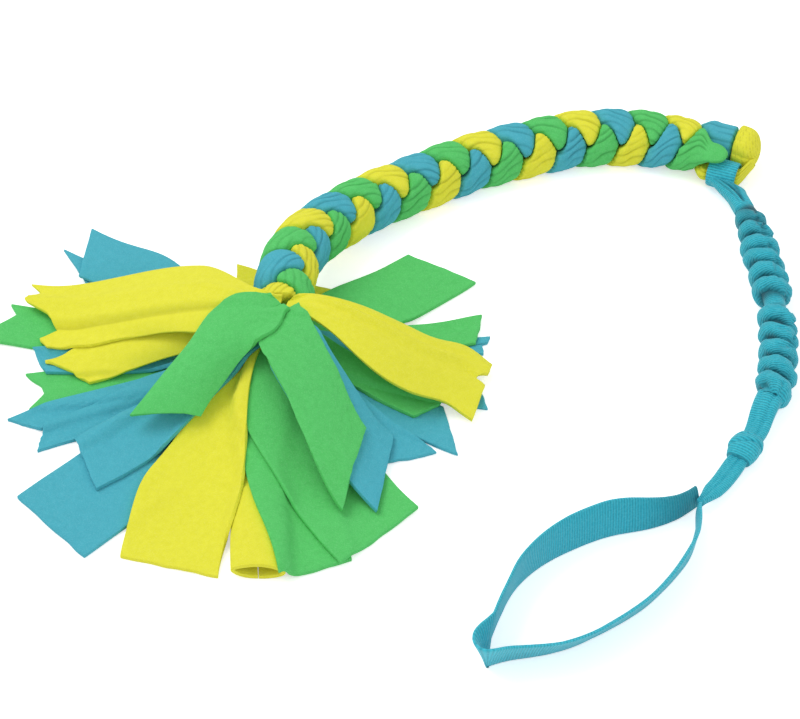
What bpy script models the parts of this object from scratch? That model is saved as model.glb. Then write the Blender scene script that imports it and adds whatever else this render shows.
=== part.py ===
"""Bungee tug toy for a dog, laid out on a floor.

A mop of loose fleece strips is bound at one point.  A flat plait of three fleece strands leaves it,
a webbing loop goes through the end of the plait, and an elastic inside a gathered webbing sleeve
joins that loop to a hand loop.  Lengths are metres, +Z is up, and the floor is z = 0.
"""

import math

import bmesh
import bpy
import numpy as np
from mathutils import Matrix, Vector

MM = 0.001

# Fleece
FLEECE_THICKNESS = 2.2 * MM
STRIP_WIDTH = 50.0
REST_GAP = 0.45 * MM
SEAT_GAP = 0.3 * MM

# Mop
MOP_X = -59.0 * MM
MOP_Y = -4.0 * MM
CORE_RADIUS = 9.5 * MM
CORE_BOTTOM = 1.0 * MM
CORE_TOP = 30.0 * MM
TOP_ROOT_HEIGHT = 42.0 * MM
STRIP_STEPS = 10
STRIP_COLUMNS = 4

# Plait
STRAND_LIMIT = 10.2 * MM
PLAIT_HALF_WIDTH = 15.6 * MM
PLAIT_HALF_THICKNESS = 12.4 * MM
LOBE_PITCH = 17.8 * MM
LOBE_GROWTH = 0.13 * MM
STRAND_SWING = 7.0 * MM
STRAND_LIFT = 4.6 * MM
STRAND_GAP = 1.0 * MM
STRAND_SIDES = 10
STEPS_A_LOBE = 6.5
FIRST_LOBE_FROM_END = 29.3 * MM
PLAIT_ROLL = 34.0
END_LOBE = 14.0 * MM
END_LOBE_SIDE = 7.0 * MM

# Webbing loop through the end of the plait
RING_FROM_END = 14.6 * MM
RING_BAND = 16.0 * MM
RING_INNER = 6.4 * MM
RING_WALL = 1.8 * MM
RING_SIDE = 13.5 * MM
RING_HEIGHT = 9.0 * MM
NECK_RADIUS = 5.8 * MM

# Gathered sleeve and the elastic in it
SLEEVE_FOLD_RADIUS = 10.4 * MM
SLEEVE_VALLEY_RADIUS = 7.4 * MM
SLEEVE_END_RADIUS = 5.4 * MM
SLEEVE_BORE_RADIUS = 4.1 * MM
SLEEVE_HEIGHT = 10.8 * MM
FIRST_FOLD = 11.0 * MM
UPPER_FOLDS = 6
UPPER_PITCH = 11.0 * MM
PLAIN_NECK = 22.5 * MM
LOWER_FOLDS = 5
LOWER_PITCH = 12.3 * MM
LAST_FOLD_TO_END = 7.4 * MM
SLEEVE_SIDES = 16
ELASTIC_RADIUS = 3.5 * MM
ELASTIC_SET_BACK = 2.0 * MM

# Hand loop
WEBBING_WIDTH = 25.0 * MM
WEBBING_THICKNESS = 1.9 * MM
STRAP_WIDTH = 13.5 * MM
STRAP_THICKNESS = 6.5 * MM
KNOT_BULGE = 8.0 * MM
KNOT_LENGTH = 15.0 * MM

# Routes, in millimetres on the floor plan
PLAIT_ROUTE = [
    (-59.8, 6.0, 31.0), (-58.9, 30.0, 32.0), (-52.0, 56.0, 27.5), (-38.8, 78.2, 22.0),
    (-23.6, 95.9, 18.0), (-8.6, 109.6, 15.2), (8.1, 120.9, 13.6), (25.0, 131.5, 12.8),
    (40.9, 139.9, 12.6), (57.5, 146.4, 12.6), (77.4, 153.0, 12.6), (96.2, 158.4, 12.6),
    (115.5, 160.1, 12.6), (132.5, 159.6, 12.6), (150.4, 156.2, 12.6), (171.0, 150.3, 12.6),
    (195.0, 141.0, 12.6),
]
SLEEVE_ROUTE = [
    (185.2, 104.0), (188.4, 93.4), (191.4, 73.0), (193.9, 53.0), (196.2, 33.0), (196.7, 16.0),
    (195.8, 0.0), (194.3, -18.0), (191.2, -31.5), (188.2, -39.0),
]
STRAP_ROUTE = [
    (180.4, -58.5, 6.8), (173.8, -71.0, 7.6), (169.0, -79.0, 6.0), (161.0, -92.0, 5.6),
    (154.5, -100.5, 6.2), (149.0, -107.5, 7.2),
]
LOOP_ROUTE = [
    (148.1, -102.0), (142.6, -106.8), (135.6, -111.8), (123.5, -117.3), (98.5, -125.0),
    (75.0, -139.0), (58.5, -157.0), (49.0, -178.5), (42.5, -197.5), (38.5, -207.0),
    (41.0, -211.5), (52.0, -208.5), (76.0, -204.0), (96.0, -194.0), (121.0, -174.0),
    (140.0, -147.0), (146.5, -127.0), (148.0, -111.8),
]

YELLOW = ("fleece_yellow", (0.80, 0.80, 0.05))
GREEN = ("fleece_green", (0.10, 0.58, 0.14))
BLUE = ("fleece_blue", (0.07, 0.43, 0.58))
TEAL = ("webbing_teal", (0.03, 0.42, 0.54))
WHITE = ("elastic_white", (0.80, 0.80, 0.78))


def smoothstep(x):
    x = min(1.0, max(0.0, x))
    return x * x * (3.0 - 2.0 * x)


def smooth_route(points, step):
    """Points about one step apart on a smooth curve through the given ones, in metres."""
    p = np.array(points, float) * MM
    p = np.vstack([2 * p[0] - p[1], p, 2 * p[-1] - p[-2]])
    out = []
    for i in range(1, len(p) - 2):
        for t in np.linspace(0, 1, 24, endpoint=False):
            a = 2 * p[i]
            b = p[i + 1] - p[i - 1]
            c = 2 * p[i - 1] - 5 * p[i] + 4 * p[i + 1] - p[i + 2]
            d = 3 * p[i] - p[i - 1] - 3 * p[i + 1] + p[i + 2]
            out.append(0.5 * (a + b * t + c * t * t + d * t ** 3))
    out = np.array(out + [p[-2]])
    along = np.concatenate([[0], np.cumsum(np.linalg.norm(np.diff(out, axis=0), axis=1))])
    count = max(2, int(round(along[-1] / step)) + 1)
    at = np.linspace(0, along[-1], count)
    return np.stack([np.interp(at, along, out[:, k]) for k in range(out.shape[1])], 1), along[-1]


class Route:
    """A smooth line on which any distance can be looked up."""

    def __init__(self, points, height=None):
        self.p, self.length = smooth_route(points, 1.0 * MM)
        if height is not None:
            self.p = np.hstack([self.p, np.full((len(self.p), 1), height)])
        self.s = np.linspace(0, self.length, len(self.p))

    def at(self, s):
        inside = min(max(s, 0.0), self.length)
        point = np.array([np.interp(inside, self.s, self.p[:, k]) for k in range(3)])
        return point + (s - inside) * self.tangent(inside)

    def tangent(self, s):
        h = 2.0 * MM
        a, b = max(0.0, s - h), min(self.length, s + h)
        d = [np.interp(b, self.s, self.p[:, k]) - np.interp(a, self.s, self.p[:, k])
             for k in range(3)]
        return np.array(d) / np.linalg.norm(d)

    def frame(self, s):
        """Along the route, to its left on the floor, and up from it."""
        t = self.tangent(s)
        left = np.cross([0, 0, 1], t)
        left = left / np.linalg.norm(left)
        return t, left, np.cross(t, left)


def sleeve_length():
    lower = PLAIN_NECK + (LOWER_FOLDS - 1) * LOWER_PITCH + LAST_FOLD_TO_END
    return FIRST_FOLD + (UPPER_FOLDS - 1) * UPPER_PITCH + lower


def lay_sleeve_route():
    """The sleeve's line, as long as its folds make it, and how far that moves what it carries."""
    points = np.array(SLEEVE_ROUTE)
    drawn = Route(SLEEVE_ROUTE, SLEEVE_HEIGHT).length
    longer = points[0] + (points - points[0]) * (sleeve_length() / drawn)
    return Route([tuple(p) for p in longer], SLEEVE_HEIGHT), longer[-1] - points[-1]


def carried(points, by):
    """A route moved on the floor with the sleeve's end."""
    return [(p[0] + by[0], p[1] + by[1], *p[2:]) for p in points]


def clear_scene():
    for obj in list(bpy.data.objects):
        bpy.data.objects.remove(obj, do_unlink=True)


def material(slot):
    name, colour = slot
    mat = bpy.data.materials.get(name)
    if mat is None:
        mat = bpy.data.materials.new(name)
        mat.use_nodes = True
        shader = mat.node_tree.nodes["Principled BSDF"]
        shader.inputs["Base Color"].default_value = (*colour, 1.0)
        shader.inputs["Roughness"].default_value = 0.85
    return mat


def add_object(name, bm, slot, smooth=True):
    bmesh.ops.recalc_face_normals(bm, faces=bm.faces)
    mesh = bpy.data.meshes.new(name)
    bm.to_mesh(mesh)
    bm.free()
    for face in mesh.polygons:
        face.use_smooth = smooth
    mesh.materials.append(material(slot))
    obj = bpy.data.objects.new(name, mesh)
    TOY.objects.link(obj)
    return obj


def loft(rings, closed=False):
    """A solid through rings of as many points each, capped unless it closes on itself."""
    bm = bmesh.new()
    rows = [[bm.verts.new(p) for p in ring] for ring in rings]
    pairs = list(zip(rows, rows[1:]))
    if closed:
        pairs.append((rows[-1], rows[0]))
    n = len(rows[0])
    for low, high in pairs:
        for i in range(n):
            j = (i + 1) % n
            bm.faces.new((low[i], low[j], high[j], high[i]))
    if not closed:
        bm.faces.new(rows[0][::-1])
        bm.faces.new(rows[-1])
    return bm


def oval(centre, across, up, half_width, half_height, sides, power=2.0):
    ring = []
    for i in range(sides):
        a = 2 * math.pi * (i + 0.5) / sides
        c, s = math.cos(a), math.sin(a)
        k = (abs(c) ** power + abs(s) ** power) ** (-1.0 / power)
        ring.append(centre + across * (half_width * k * c) + up * (half_height * k * s))
    return ring


# The plait

def strand_places(s, length):
    """Where the three strands lie in the plait's section, as (side, lift), and how far they reach.

    The plait is worked tighter toward its end, so each lobe is a little longer than the next.
    """
    end = length - s
    root = math.sqrt(LOBE_PITCH ** 2 + 4 * LOBE_GROWTH * (end - FIRST_LOBE_FROM_END))
    lobes = (root - LOBE_PITCH) / (2 * LOBE_GROWTH)
    out = {}
    for number, key in enumerate(("blue", "green", "yellow")):
        turn = math.pi / 2 - 2 * math.pi * (lobes + number) / 3
        place = np.array([STRAND_SWING * math.sin(turn), -STRAND_LIFT * math.sin(2 * turn)])
        out[key] = [place, np.array([STRAND_LIMIT, STRAND_LIMIT])]
    ring_low = RING_HEIGHT - PLAIT_ROUTE[-1][2] * MM
    near = 1 - smoothstep((end - RING_FROM_END - RING_BAND / 2 - 1 * MM) / (10 * MM))
    past = 1 - smoothstep((end - 1 * MM) / (RING_FROM_END - RING_BAND / 2 - 1 * MM))
    targets = {
        "yellow": (np.array([-RING_SIDE, ring_low]), np.array([NECK_RADIUS, NECK_RADIUS])),
        "green": (np.array([-RING_SIDE - 1 * MM, ring_low + 13.0 * MM]), np.array([10.0, 4.6]) * MM),
        "blue": (np.array([6.0 * MM, 1.0 * MM]), np.array([11.0, 10.0]) * MM),
    }
    for key, (place, reach) in targets.items():
        out[key][0] = out[key][0] * (1 - near) + place * near
        out[key][1] = out[key][1] * (1 - near) + reach * near
    if past > 0:
        out["yellow"][0] = out["yellow"][0] * (1 - past) + np.array([-3.0, -1.0]) * MM * past
        out["yellow"][1] = out["yellow"][1] * (1 - past) + np.array([6.5, 7.0]) * MM * past
    return out


def rounded_end(left, size):
    """The share of its full reach that a strand keeps this far from its end."""
    x = min(1.0, max(0.0, left / size))
    return math.sqrt(max(0.0, 1 - (1 - x) ** 2))


def rolled(s, length):
    """The plait lies rolled toward the viewer and comes level again at its end."""
    level = smoothstep((length - s - 30 * MM) / (40 * MM))
    a = math.radians(PLAIT_ROLL) * level * smoothstep(s / (40 * MM))
    return math.cos(a), math.sin(a)


def strand_room(key, s, length, stops):
    """A strand's centre and how far it may reach from it in each direction of its section."""
    places = strand_places(s, length)
    centre, reach = places[key]
    reach = reach * max(0.12, rounded_end(stops[key] - s, 7 * MM))
    ring_zone = abs(length - s - RING_FROM_END) <= RING_BAND / 2 + 1.0 * MM
    ring_centre = np.array([-RING_SIDE, RING_HEIGHT - PLAIT_ROUTE[-1][2] * MM])
    widest = PLAIT_HALF_WIDTH + 10 * MM * (1 - smoothstep((length - s - 22 * MM) / (14 * MM)))
    gap = STRAND_GAP * (1.6 if 24 * MM < length - s < 62 * MM else 1.0)
    walls = []
    for other, (place, _) in places.items():
        if other == key or s > stops[other] + 2 * MM:
            continue
        away = place - centre
        d = np.linalg.norm(away)
        walls.append((away / d, d / 2 - gap / 2))
    if ring_zone and key != "yellow":
        away = ring_centre - centre
        d = np.linalg.norm(away)
        walls.append((away / d, d - RING_INNER - RING_WALL - REST_GAP))
    room = []
    for i in range(STRAND_SIDES):
        a = 2 * math.pi * (i + 0.5) / STRAND_SIDES
        ray = np.array([math.cos(a), math.sin(a)])
        r = 1 / math.hypot(ray[0] / reach[0], ray[1] / reach[1])
        for normal, far in walls:
            facing = ray @ normal
            if facing > 1e-6:
                r = min(r, far / facing)
        if ring_zone and key == "yellow":
            r = min(r, NECK_RADIUS)
        p = centre + ray * r
        k = math.hypot(p[0] / widest, p[1] / PLAIT_HALF_THICKNESS)
        if k > 1:
            r *= max(0.3, 1 - (k - 1) * 1.2)
        room.append(r)
    return centre, np.array(room)


def strand_sections(key, own, length, stops):
    """A strand's sections, drawn in where the surface between two of them would leave its room."""
    found = [strand_room(key, s, length, stops) for s in own]
    reach = np.array([room for _, room in found])
    for turn in range(3):
        for k in range(len(own) - 1):
            for share in (0.5, 0.25, 0.75):
                s = own[k] * (1 - share) + own[k + 1] * share
                limit = strand_room(key, s, length, stops)[1]
                over = np.maximum(0.0, reach[k] * (1 - share) + reach[k + 1] * share - limit)
                first = reach[k] >= reach[k + 1]
                reach[k] -= np.where(first, over / (1 - share), 0.0)
                reach[k + 1] -= np.where(first, 0.0, over / share)
    reach = np.maximum(reach, 0.6 * MM)
    turns = 2 * np.pi * (np.arange(STRAND_SIDES) + 0.5) / STRAND_SIDES
    rays = np.stack([np.cos(turns), np.sin(turns)], 1)
    return [centre + rays * room[:, None] for (centre, _), room in zip(found, reach)]


def build_plait():
    route = Route(PLAIT_ROUTE)
    length = route.length
    stops = {"yellow": length, "green": length - 10.0 * MM,
             "blue": length - END_LOBE - 0.7 * MM}
    ring_far = RING_FROM_END + RING_BAND / 2 + REST_GAP
    ring_near = RING_FROM_END - RING_BAND / 2 - REST_GAP
    step = LOBE_PITCH / STEPS_A_LOBE
    ends = [ring_far + 9 * MM, ring_far + 6 * MM, ring_far + 3 * MM, ring_far, ring_far - 3 * MM,
            ring_near + 3 * MM, ring_near, ring_near * 0.75, ring_near * 0.5, ring_near * 0.3,
            ring_near * 0.12]
    plain = [0.0] + list(length - np.arange(ends[0] + step * 1.1, length - step / 2, step)[::-1])
    stations = plain + [length - e for e in ends]
    for key, slot in (("yellow", YELLOW), ("green", GREEN), ("blue", BLUE)):
        rings = []
        own = [s for s in stations if s < stops[key] - 0.6 * MM] + [stops[key] - 0.1 * MM]
        for s, section in zip(own, strand_sections(key, own, length, stops)):
            t, left, up = route.frame(s)
            base = route.at(s)
            c, r = rolled(s, length)
            ring = []
            for side, lift in section:
                p = base + left * (side * c - lift * r) + up * (side * r + lift * c)
                p[2] = max(p[2], 0.0)
                ring.append(p)
            rings.append(ring)
        strand = add_object("braid_strand_" + key, loft(rings), slot)
        if key == "yellow":
            join(strand, add_object("turned_end", loft(turned_end(route)), slot))
    return route


def turned_end(route):
    """The lobe that the yellow strand's end makes where it turns round the end of the plait."""
    rings = []
    for u in (0.0, 0.07, 0.2, 0.38, 0.58, 0.76, 0.9, 0.98):
        s = route.length - END_LOBE * (1 - u)
        full = min(rounded_end(u + 0.04, 0.32), rounded_end(1 - u, 0.55))
        t, left, up = route.frame(s)
        centre = route.at(s) + left * (END_LOBE_SIDE - 2.5 * MM * u * u) + up * 0.6 * MM
        rings.append(oval(centre, left, up, 11.3 * MM * full, 10.6 * MM * full, 12, 2.2))
    return rings


# The webbing loop, the gathered sleeve and the elastic

def build_end_loop(plait, sleeve):
    s = plait.length - RING_FROM_END
    t, left, up = plait.frame(s)
    up = np.array([0.0, 0.0, 1.0])
    centre = plait.at(s) - left * RING_SIDE
    centre[2] = RING_HEIGHT
    rings = []
    sides = 20
    for i in range(sides):
        a = 2 * math.pi * i / sides
        out = left * math.cos(a) + up * math.sin(a)
        inner, outer = RING_INNER / math.cos(math.pi / sides), RING_INNER + RING_WALL
        half = t * (RING_BAND / 2)
        rings.append([centre + out * inner - half, centre + out * outer - half,
                      centre + out * outer + half, centre + out * inner + half])
    ring = add_object("braid_end_loop", loft(rings, closed=True), TEAL)
    start = centre - left * (RING_INNER + RING_WALL * 0.45)
    first, goal = sleeve.at(0.0), sleeve.tangent(0.0)
    tongue = []
    for k in range(9):
        u = k / 8
        a = start * (1 - u) ** 3 + (start - left * 5 * MM + t * 5 * MM) * 3 * u * (1 - u) ** 2
        mid = a + (first - goal * 11 * MM) * 3 * u * u * (1 - u)
        mid = mid + (first - goal * SEAT_GAP) * u ** 3
        heading = -left * (1 - smoothstep(u)) + goal * smoothstep(u)
        heading = heading / np.linalg.norm(heading)
        across = np.cross(heading, up)
        across = across / np.linalg.norm(across)
        wide = (RING_BAND / 2 - 0.6 * MM) * (1 - smoothstep(u * 1.3)) + 5.4 * MM * smoothstep(u * 1.3)
        wide += 3.0 * MM * math.sin(math.pi * min(1.0, u / 0.7)) ** 2
        tall = 3.4 * MM + 1.6 * MM * smoothstep(u)
        tongue.append(oval(mid, across, np.cross(across, heading), wide, tall, 12, 2.6))
    strap = add_object("end_loop_strap", loft(tongue), TEAL)
    join(ring, strap)
    return centre, t


def join(obj, tool):
    """Makes one solid of two that overlap."""
    union = obj.modifiers.new("join", "BOOLEAN")
    union.operation = "UNION"
    union.solver = "EXACT"
    union.object = tool
    graph = bpy.context.evaluated_depsgraph_get()
    graph.update()
    mesh = bpy.data.meshes.new_from_object(obj.evaluated_get(graph))
    obj.modifiers.clear()
    obj.data = mesh
    bpy.data.objects.remove(tool, do_unlink=True)


def fold_places():
    upper = [FIRST_FOLD + i * UPPER_PITCH for i in range(UPPER_FOLDS)]
    lower = [upper[-1] + PLAIN_NECK + i * LOWER_PITCH for i in range(LOWER_FOLDS)]
    return upper, lower


def build_sleeve(route):
    upper, lower = fold_places()
    stations = [(0.0, SLEEVE_END_RADIUS, 0.0)]
    for group, pitch in ((upper, UPPER_PITCH), (lower, LOWER_PITCH)):
        for i, s in enumerate(group):
            lean = math.radians(13 + 6 * math.sin(2.1 * (s / UPPER_PITCH)))
            full = SLEEVE_FOLD_RADIUS * (1 - 0.05 * (i % 2))
            valley = SLEEVE_VALLEY_RADIUS
            stations.append((s - 0.44 * pitch, SLEEVE_END_RADIUS + 1.0 * MM if i == 0 else valley, lean))
            stations.append((s - 0.22 * pitch, full * 0.93, lean))
            stations.append((s + 0.04 * pitch, full, lean))
            stations.append((s + 0.28 * pitch, full * 0.90, lean))
        stations.append((group[-1] + 0.48 * pitch, SLEEVE_END_RADIUS + 1.0 * MM, math.radians(10)))
    middle = (upper[-1] + 0.48 * UPPER_PITCH + lower[0] - 0.44 * LOWER_PITCH) / 2
    stations.append((middle, SLEEVE_END_RADIUS + 0.2 * MM, math.radians(4)))
    stations.append((route.length, SLEEVE_END_RADIUS + 1.2 * MM, 0.0))
    stations.sort()
    outer = []
    for s, radius, lean in stations:
        t, left, up = route.frame(s)
        ring = []
        for i in range(SLEEVE_SIDES):
            a = 2 * math.pi * (i + 0.5) / SLEEVE_SIDES
            side = math.cos(a) * radius
            ring.append(route.at(s) + left * side + up * math.sin(a) * radius
                        - t * side * math.tan(lean))
        outer.append(ring)
    inner = []
    for s in np.linspace(route.length, 0.0, 14):
        t, left, up = route.frame(s)
        inner.append([route.at(s) + left * math.cos(a) * SLEEVE_BORE_RADIUS
                      + up * math.sin(a) * SLEEVE_BORE_RADIUS
                      for a in (2 * math.pi * (i + 0.5) / SLEEVE_SIDES for i in range(SLEEVE_SIDES))])
    sleeve = add_object("bungee_sleeve", loft(outer + inner, closed=True), TEAL)
    core = []
    for s in np.linspace(SEAT_GAP, route.length - ELASTIC_SET_BACK, 16):
        t, left, up = route.frame(s)
        core.append(oval(route.at(s), left, up, ELASTIC_RADIUS, ELASTIC_RADIUS, 10))
    add_object("elastic_core", loft(core), WHITE)
    return sleeve


# The handle

def build_handle(sleeve, by):
    seat, out = sleeve.at(sleeve.length), sleeve.tangent(sleeve.length)
    lead = [tuple((seat + out * d) / MM) for d in (SEAT_GAP, 4 * MM, 9 * MM)]
    lead[2] = (*lead[2][:2], lead[2][2] - 1.2)
    strap = carried(STRAP_ROUTE, by)
    route = Route(lead + strap)
    knot_at = np.linalg.norm(route.p[:, :2] - np.array(strap[1][:2]) * MM, axis=1).argmin()
    knot = route.s[knot_at]
    sides = 12

    def section(s, room=0.0):
        """The strap's outline at a distance along it, or a hole that clears it all round."""
        u = s / route.length
        t, left, up = route.frame(s)
        wide = STRAP_WIDTH / 2 * (1 - 0.18 * smoothstep(u * 2.2) - 0.40 * smoothstep(u * 2.5 - 1.5))
        tall = STRAP_THICKNESS / 2 * (1.4 - 0.65 * smoothstep(u * 4) + 0.6 * smoothstep(u * 4 - 3))
        wide *= 1 - 0.22 * math.exp(-((s - knot) / (7 * MM)) ** 2)
        return oval(route.at(s), left, up, wide + room, tall + room, sides, 2.8)

    knots = [knot + (k / 8 - 0.5) * KNOT_LENGTH for k in range(9)]
    before = list(np.linspace(0, knots[0], 6, endpoint=False))
    after = list(np.linspace(knots[-1], route.length, 9)[1:])
    add_object("handle_strap", loft([section(s) for s in before + knots + after]), TEAL)
    outer = []
    for k, s in enumerate(knots):
        t, left, up = route.frame(s)
        bulge = math.sin(math.pi * (0.12 + 0.095 * k))
        wide = 6.2 * MM + (KNOT_BULGE - 6.2 * MM) * bulge
        tall = 4.4 * MM + 2.7 * MM * bulge
        ring = oval(route.at(s), left, up, wide, tall, sides, 2.3)
        outer.append([np.array([p[0], p[1], max(p[2], 0.0)]) for p in ring])
    inner = [section(s, REST_GAP) for s in knots[::-1]]
    add_object("knot_wrap", loft(outer + inner, closed=True), TEAL)


def band_lean(u):
    """How far the webbing leans outward along the hand loop, in degrees from upright."""
    knots = [(0.0, 12), (0.05, 12), (0.14, 4), (0.45, 4), (0.50, 9), (0.56, 26), (0.66, 33),
             (0.76, 39), (0.90, 42), (0.97, 20), (1.0, 10)]
    return float(np.interp(u, [k[0] for k in knots], [k[1] for k in knots]))


def build_hand_loop(by):
    route = Route(carried(LOOP_ROUTE, by), 0.0)
    rings = []
    count = 58
    for s in np.linspace(0, route.length, count):
        u = s / route.length
        t, left, up = route.frame(s)
        out = -left
        lean = math.radians(band_lean(u))
        narrow = min(smoothstep(u / 0.16), smoothstep((1 - u) / 0.12))
        width = WEBBING_WIDTH * (0.42 + 0.58 * narrow)
        high = np.array([0, 0, 1.0]) * math.cos(lean) + out * math.sin(lean)
        thick = np.cross(t, high)
        base = route.at(s)
        base[2] = width / 2 * math.cos(lean) + WEBBING_THICKNESS / 2 * abs(math.sin(lean)) - 0.3 * MM
        a, b = high * (width / 2), thick * (WEBBING_THICKNESS / 2)
        ring = [base - a - b * 0.5, base - a * 0.96 - b, base + a * 0.96 - b, base + a - b * 0.5,
                base + a + b * 0.5, base + a * 0.96 + b, base - a * 0.96 + b, base - a + b * 0.5]
        rings.append([np.array([p[0], p[1], max(p[2], 0.0)]) for p in ring])
    return add_object("hand_loop", loft(rings), TEAL)


# The mop

class Pile:
    """The height of what lies on the floor so far, on a fine grid round the mop."""

    def __init__(self):
        self.cell = 1.0 * MM
        self.x0, self.y0 = MOP_X - 0.185, MOP_Y - 0.185
        self.n = 371
        self.z = np.full((self.n, self.n), -1.0)
        axis = np.arange(self.n) * self.cell
        x, y = np.meshgrid(self.x0 + axis - MOP_X, self.y0 + axis - MOP_Y, indexing="ij")
        self.core = np.where(np.hypot(x, y) < CORE_RADIUS + FLEECE_THICKNESS,
                             CORE_TOP + FLEECE_THICKNESS / 2 + REST_GAP, 0.0)
        start = np.array(PLAIT_ROUTE[0]) * MM - np.array([MOP_X, MOP_Y, 0.0])
        inside = 1 - ((x - start[0]) / (PLAIT_HALF_WIDTH + FLEECE_THICKNESS)) ** 2
        inside = np.where((y > start[1] - FLEECE_THICKNESS) & (y < 25 * MM), inside, 0.0)
        over = start[2] + (PLAIT_HALF_THICKNESS + FLEECE_THICKNESS) * np.sqrt(np.maximum(inside, 0.0))
        self.core = np.maximum(self.core, np.where(inside > 0, over, 0.0))

    def add(self, points, faces):
        for face in faces:
            for tri in ((face[0], face[1], face[2]), (face[0], face[2], face[-1])):
                self.add_triangle(*(points[i] for i in tri))

    def add_triangle(self, a, b, c):
        low = np.minimum(np.minimum(a, b), c)[:2] - self.cell
        high = np.maximum(np.maximum(a, b), c)[:2] + self.cell
        i0, j0 = int((low[0] - self.x0) / self.cell), int((low[1] - self.y0) / self.cell)
        i1, j1 = int((high[0] - self.x0) / self.cell) + 1, int((high[1] - self.y0) / self.cell) + 1
        i0, j0, i1, j1 = max(i0, 0), max(j0, 0), min(i1, self.n - 1), min(j1, self.n - 1)
        if i1 < i0 or j1 < j0:
            return
        x, y = np.meshgrid(self.x0 + np.arange(i0, i1 + 1) * self.cell,
                           self.y0 + np.arange(j0, j1 + 1) * self.cell, indexing="ij")
        den = (b[1] - c[1]) * (a[0] - c[0]) + (c[0] - b[0]) * (a[1] - c[1])
        if abs(den) < 1e-12:
            return
        u = ((b[1] - c[1]) * (x - c[0]) + (c[0] - b[0]) * (y - c[1])) / den
        v = ((c[1] - a[1]) * (x - c[0]) + (a[0] - c[0]) * (y - c[1])) / den
        w = 1 - u - v
        slack = -0.02
        hit = (u >= slack) & (v >= slack) & (w >= slack)
        z = np.where(hit, u * a[2] + v * b[2] + w * c[2], -1.0)
        part = self.z[i0:i1 + 1, j0:j1 + 1]
        np.maximum(part, z, out=part)

    def room(self, reach):
        """The least height of a middle surface that stays this far above all of it."""
        k = int(math.ceil(reach / self.cell))
        out = np.full_like(self.z, FLEECE_THICKNESS / 2)
        for i in range(-k, k + 1):
            for j in range(-k, k + 1):
                d = math.hypot(i, j) * self.cell
                if d > reach:
                    continue
                lift = math.sqrt(reach * reach - d * d)
                moved = np.full_like(self.z, -1.0)
                src = self.z[max(0, i):self.n + min(0, i), max(0, j):self.n + min(0, j)]
                moved[max(0, -i):self.n + min(0, -i), max(0, -j):self.n + min(0, -j)] = src
                np.maximum(out, np.where(moved >= 0, moved + lift, -1.0), out=out)
        return out

    def look(self, field, x, y):
        i = np.clip(np.rint((x - self.x0) / self.cell).astype(int), 0, self.n - 1)
        j = np.clip(np.rint((y - self.y0) / self.cell).astype(int), 0, self.n - 1)
        return field[i, j]


def strip_shape(azimuth, reach, slant, width, root, root_radius, bow, flare):
    """The floor plan of a strip: points by step along it and by column across it."""
    a0 = math.radians(azimuth)
    x = np.zeros((STRIP_STEPS + 1, STRIP_COLUMNS + 1))
    y = np.zeros_like(x)
    for i in range(STRIP_STEPS + 1):
        u = i / STRIP_STEPS
        w = root + (width - root) * smoothstep(u / flare)
        for j in range(STRIP_COLUMNS + 1):
            v = 1 - 2 * j / STRIP_COLUMNS
            r = root_radius + (reach + v * slant / 2 - root_radius) * u
            side = v * w / 2 + bow * 2.6 * math.sqrt(u) * (1 - u)
            x[i, j] = MOP_X + r * math.cos(a0) - side * math.sin(a0)
            y[i, j] = MOP_Y + r * math.sin(a0) + side * math.cos(a0)
    return x, y


def lay_strip(pile, name, slot, azimuth, reach, slant=0.0, width=STRIP_WIDTH, root_height=20.0,
              root_radius=(CORE_RADIUS + SEAT_GAP) / MM + 0.4, root=21.0, drop=95.0, bow=0.0,
              fold=0.0, tip=0.0, flare=0.25):
    """A strip from the bound middle out over whatever lies under it; millimetres and degrees."""
    x, y = strip_shape(azimuth, reach * MM, slant * MM, width * MM, root * MM,
                       root_radius * MM, bow * MM, flare)
    room = pile.room(FLEECE_THICKNESS + REST_GAP)
    if root_radius * MM < CORE_RADIUS:
        room = np.maximum(room, pile.core)
    steps = np.arange(STRIP_STEPS + 1) / STRIP_STEPS
    out = root_radius + (reach - root_radius) * steps
    fall = np.array([0.5 + 0.5 * math.cos(math.pi * min(1.0, o / drop)) for o in out])
    wish = FLEECE_THICKNESS / 2 + (root_height * MM - FLEECE_THICKNESS / 2) * fall
    wish = wish + tip * MM * steps ** 4
    columns = 1 - 2 * np.arange(STRIP_COLUMNS + 1) / STRIP_COLUMNS
    crease = fold * MM * (1 - columns ** 2)
    wish = wish[:, None] + crease[None, :] * (0.35 + 0.65 * np.sin(np.pi * steps))[:, None]
    z = np.maximum(wish, pile.look(room, x, y))
    for turn in range(16):
        mean = z.copy()
        mean[1:-1] = (z[:-2] + 2 * z[1:-1] + z[2:]) / 4
        mean[:, 1:-1] = (mean[:, :-2] + 2 * mean[:, 1:-1] + mean[:, 2:]) / 4
        if turn < 10:
            z = np.maximum(0.6 * mean + 0.4 * wish, pile.look(room, x, y))
        z = lift_clear(pile, room, x, y, z)
    points = np.stack([x.ravel(), y.ravel(), z.ravel()], 1)
    columns = STRIP_COLUMNS + 1
    faces = [(i * columns + j, i * columns + j + 1, (i + 1) * columns + j + 1, (i + 1) * columns + j)
             for i in range(STRIP_STEPS) for j in range(STRIP_COLUMNS)]
    pile.add(points, faces)
    bm = bmesh.new()
    verts = [bm.verts.new(p) for p in points]
    for face in faces:
        quad = [verts[i] for i in face]
        bm.faces.new((quad[0], quad[1], quad[2]))
        bm.faces.new((quad[0], quad[2], quad[3]))
    obj = add_object(name, bm, slot)
    thick = obj.modifiers.new("thickness", "SOLIDIFY")
    thick.thickness = FLEECE_THICKNESS
    thick.offset = 0.0
    return obj


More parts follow.
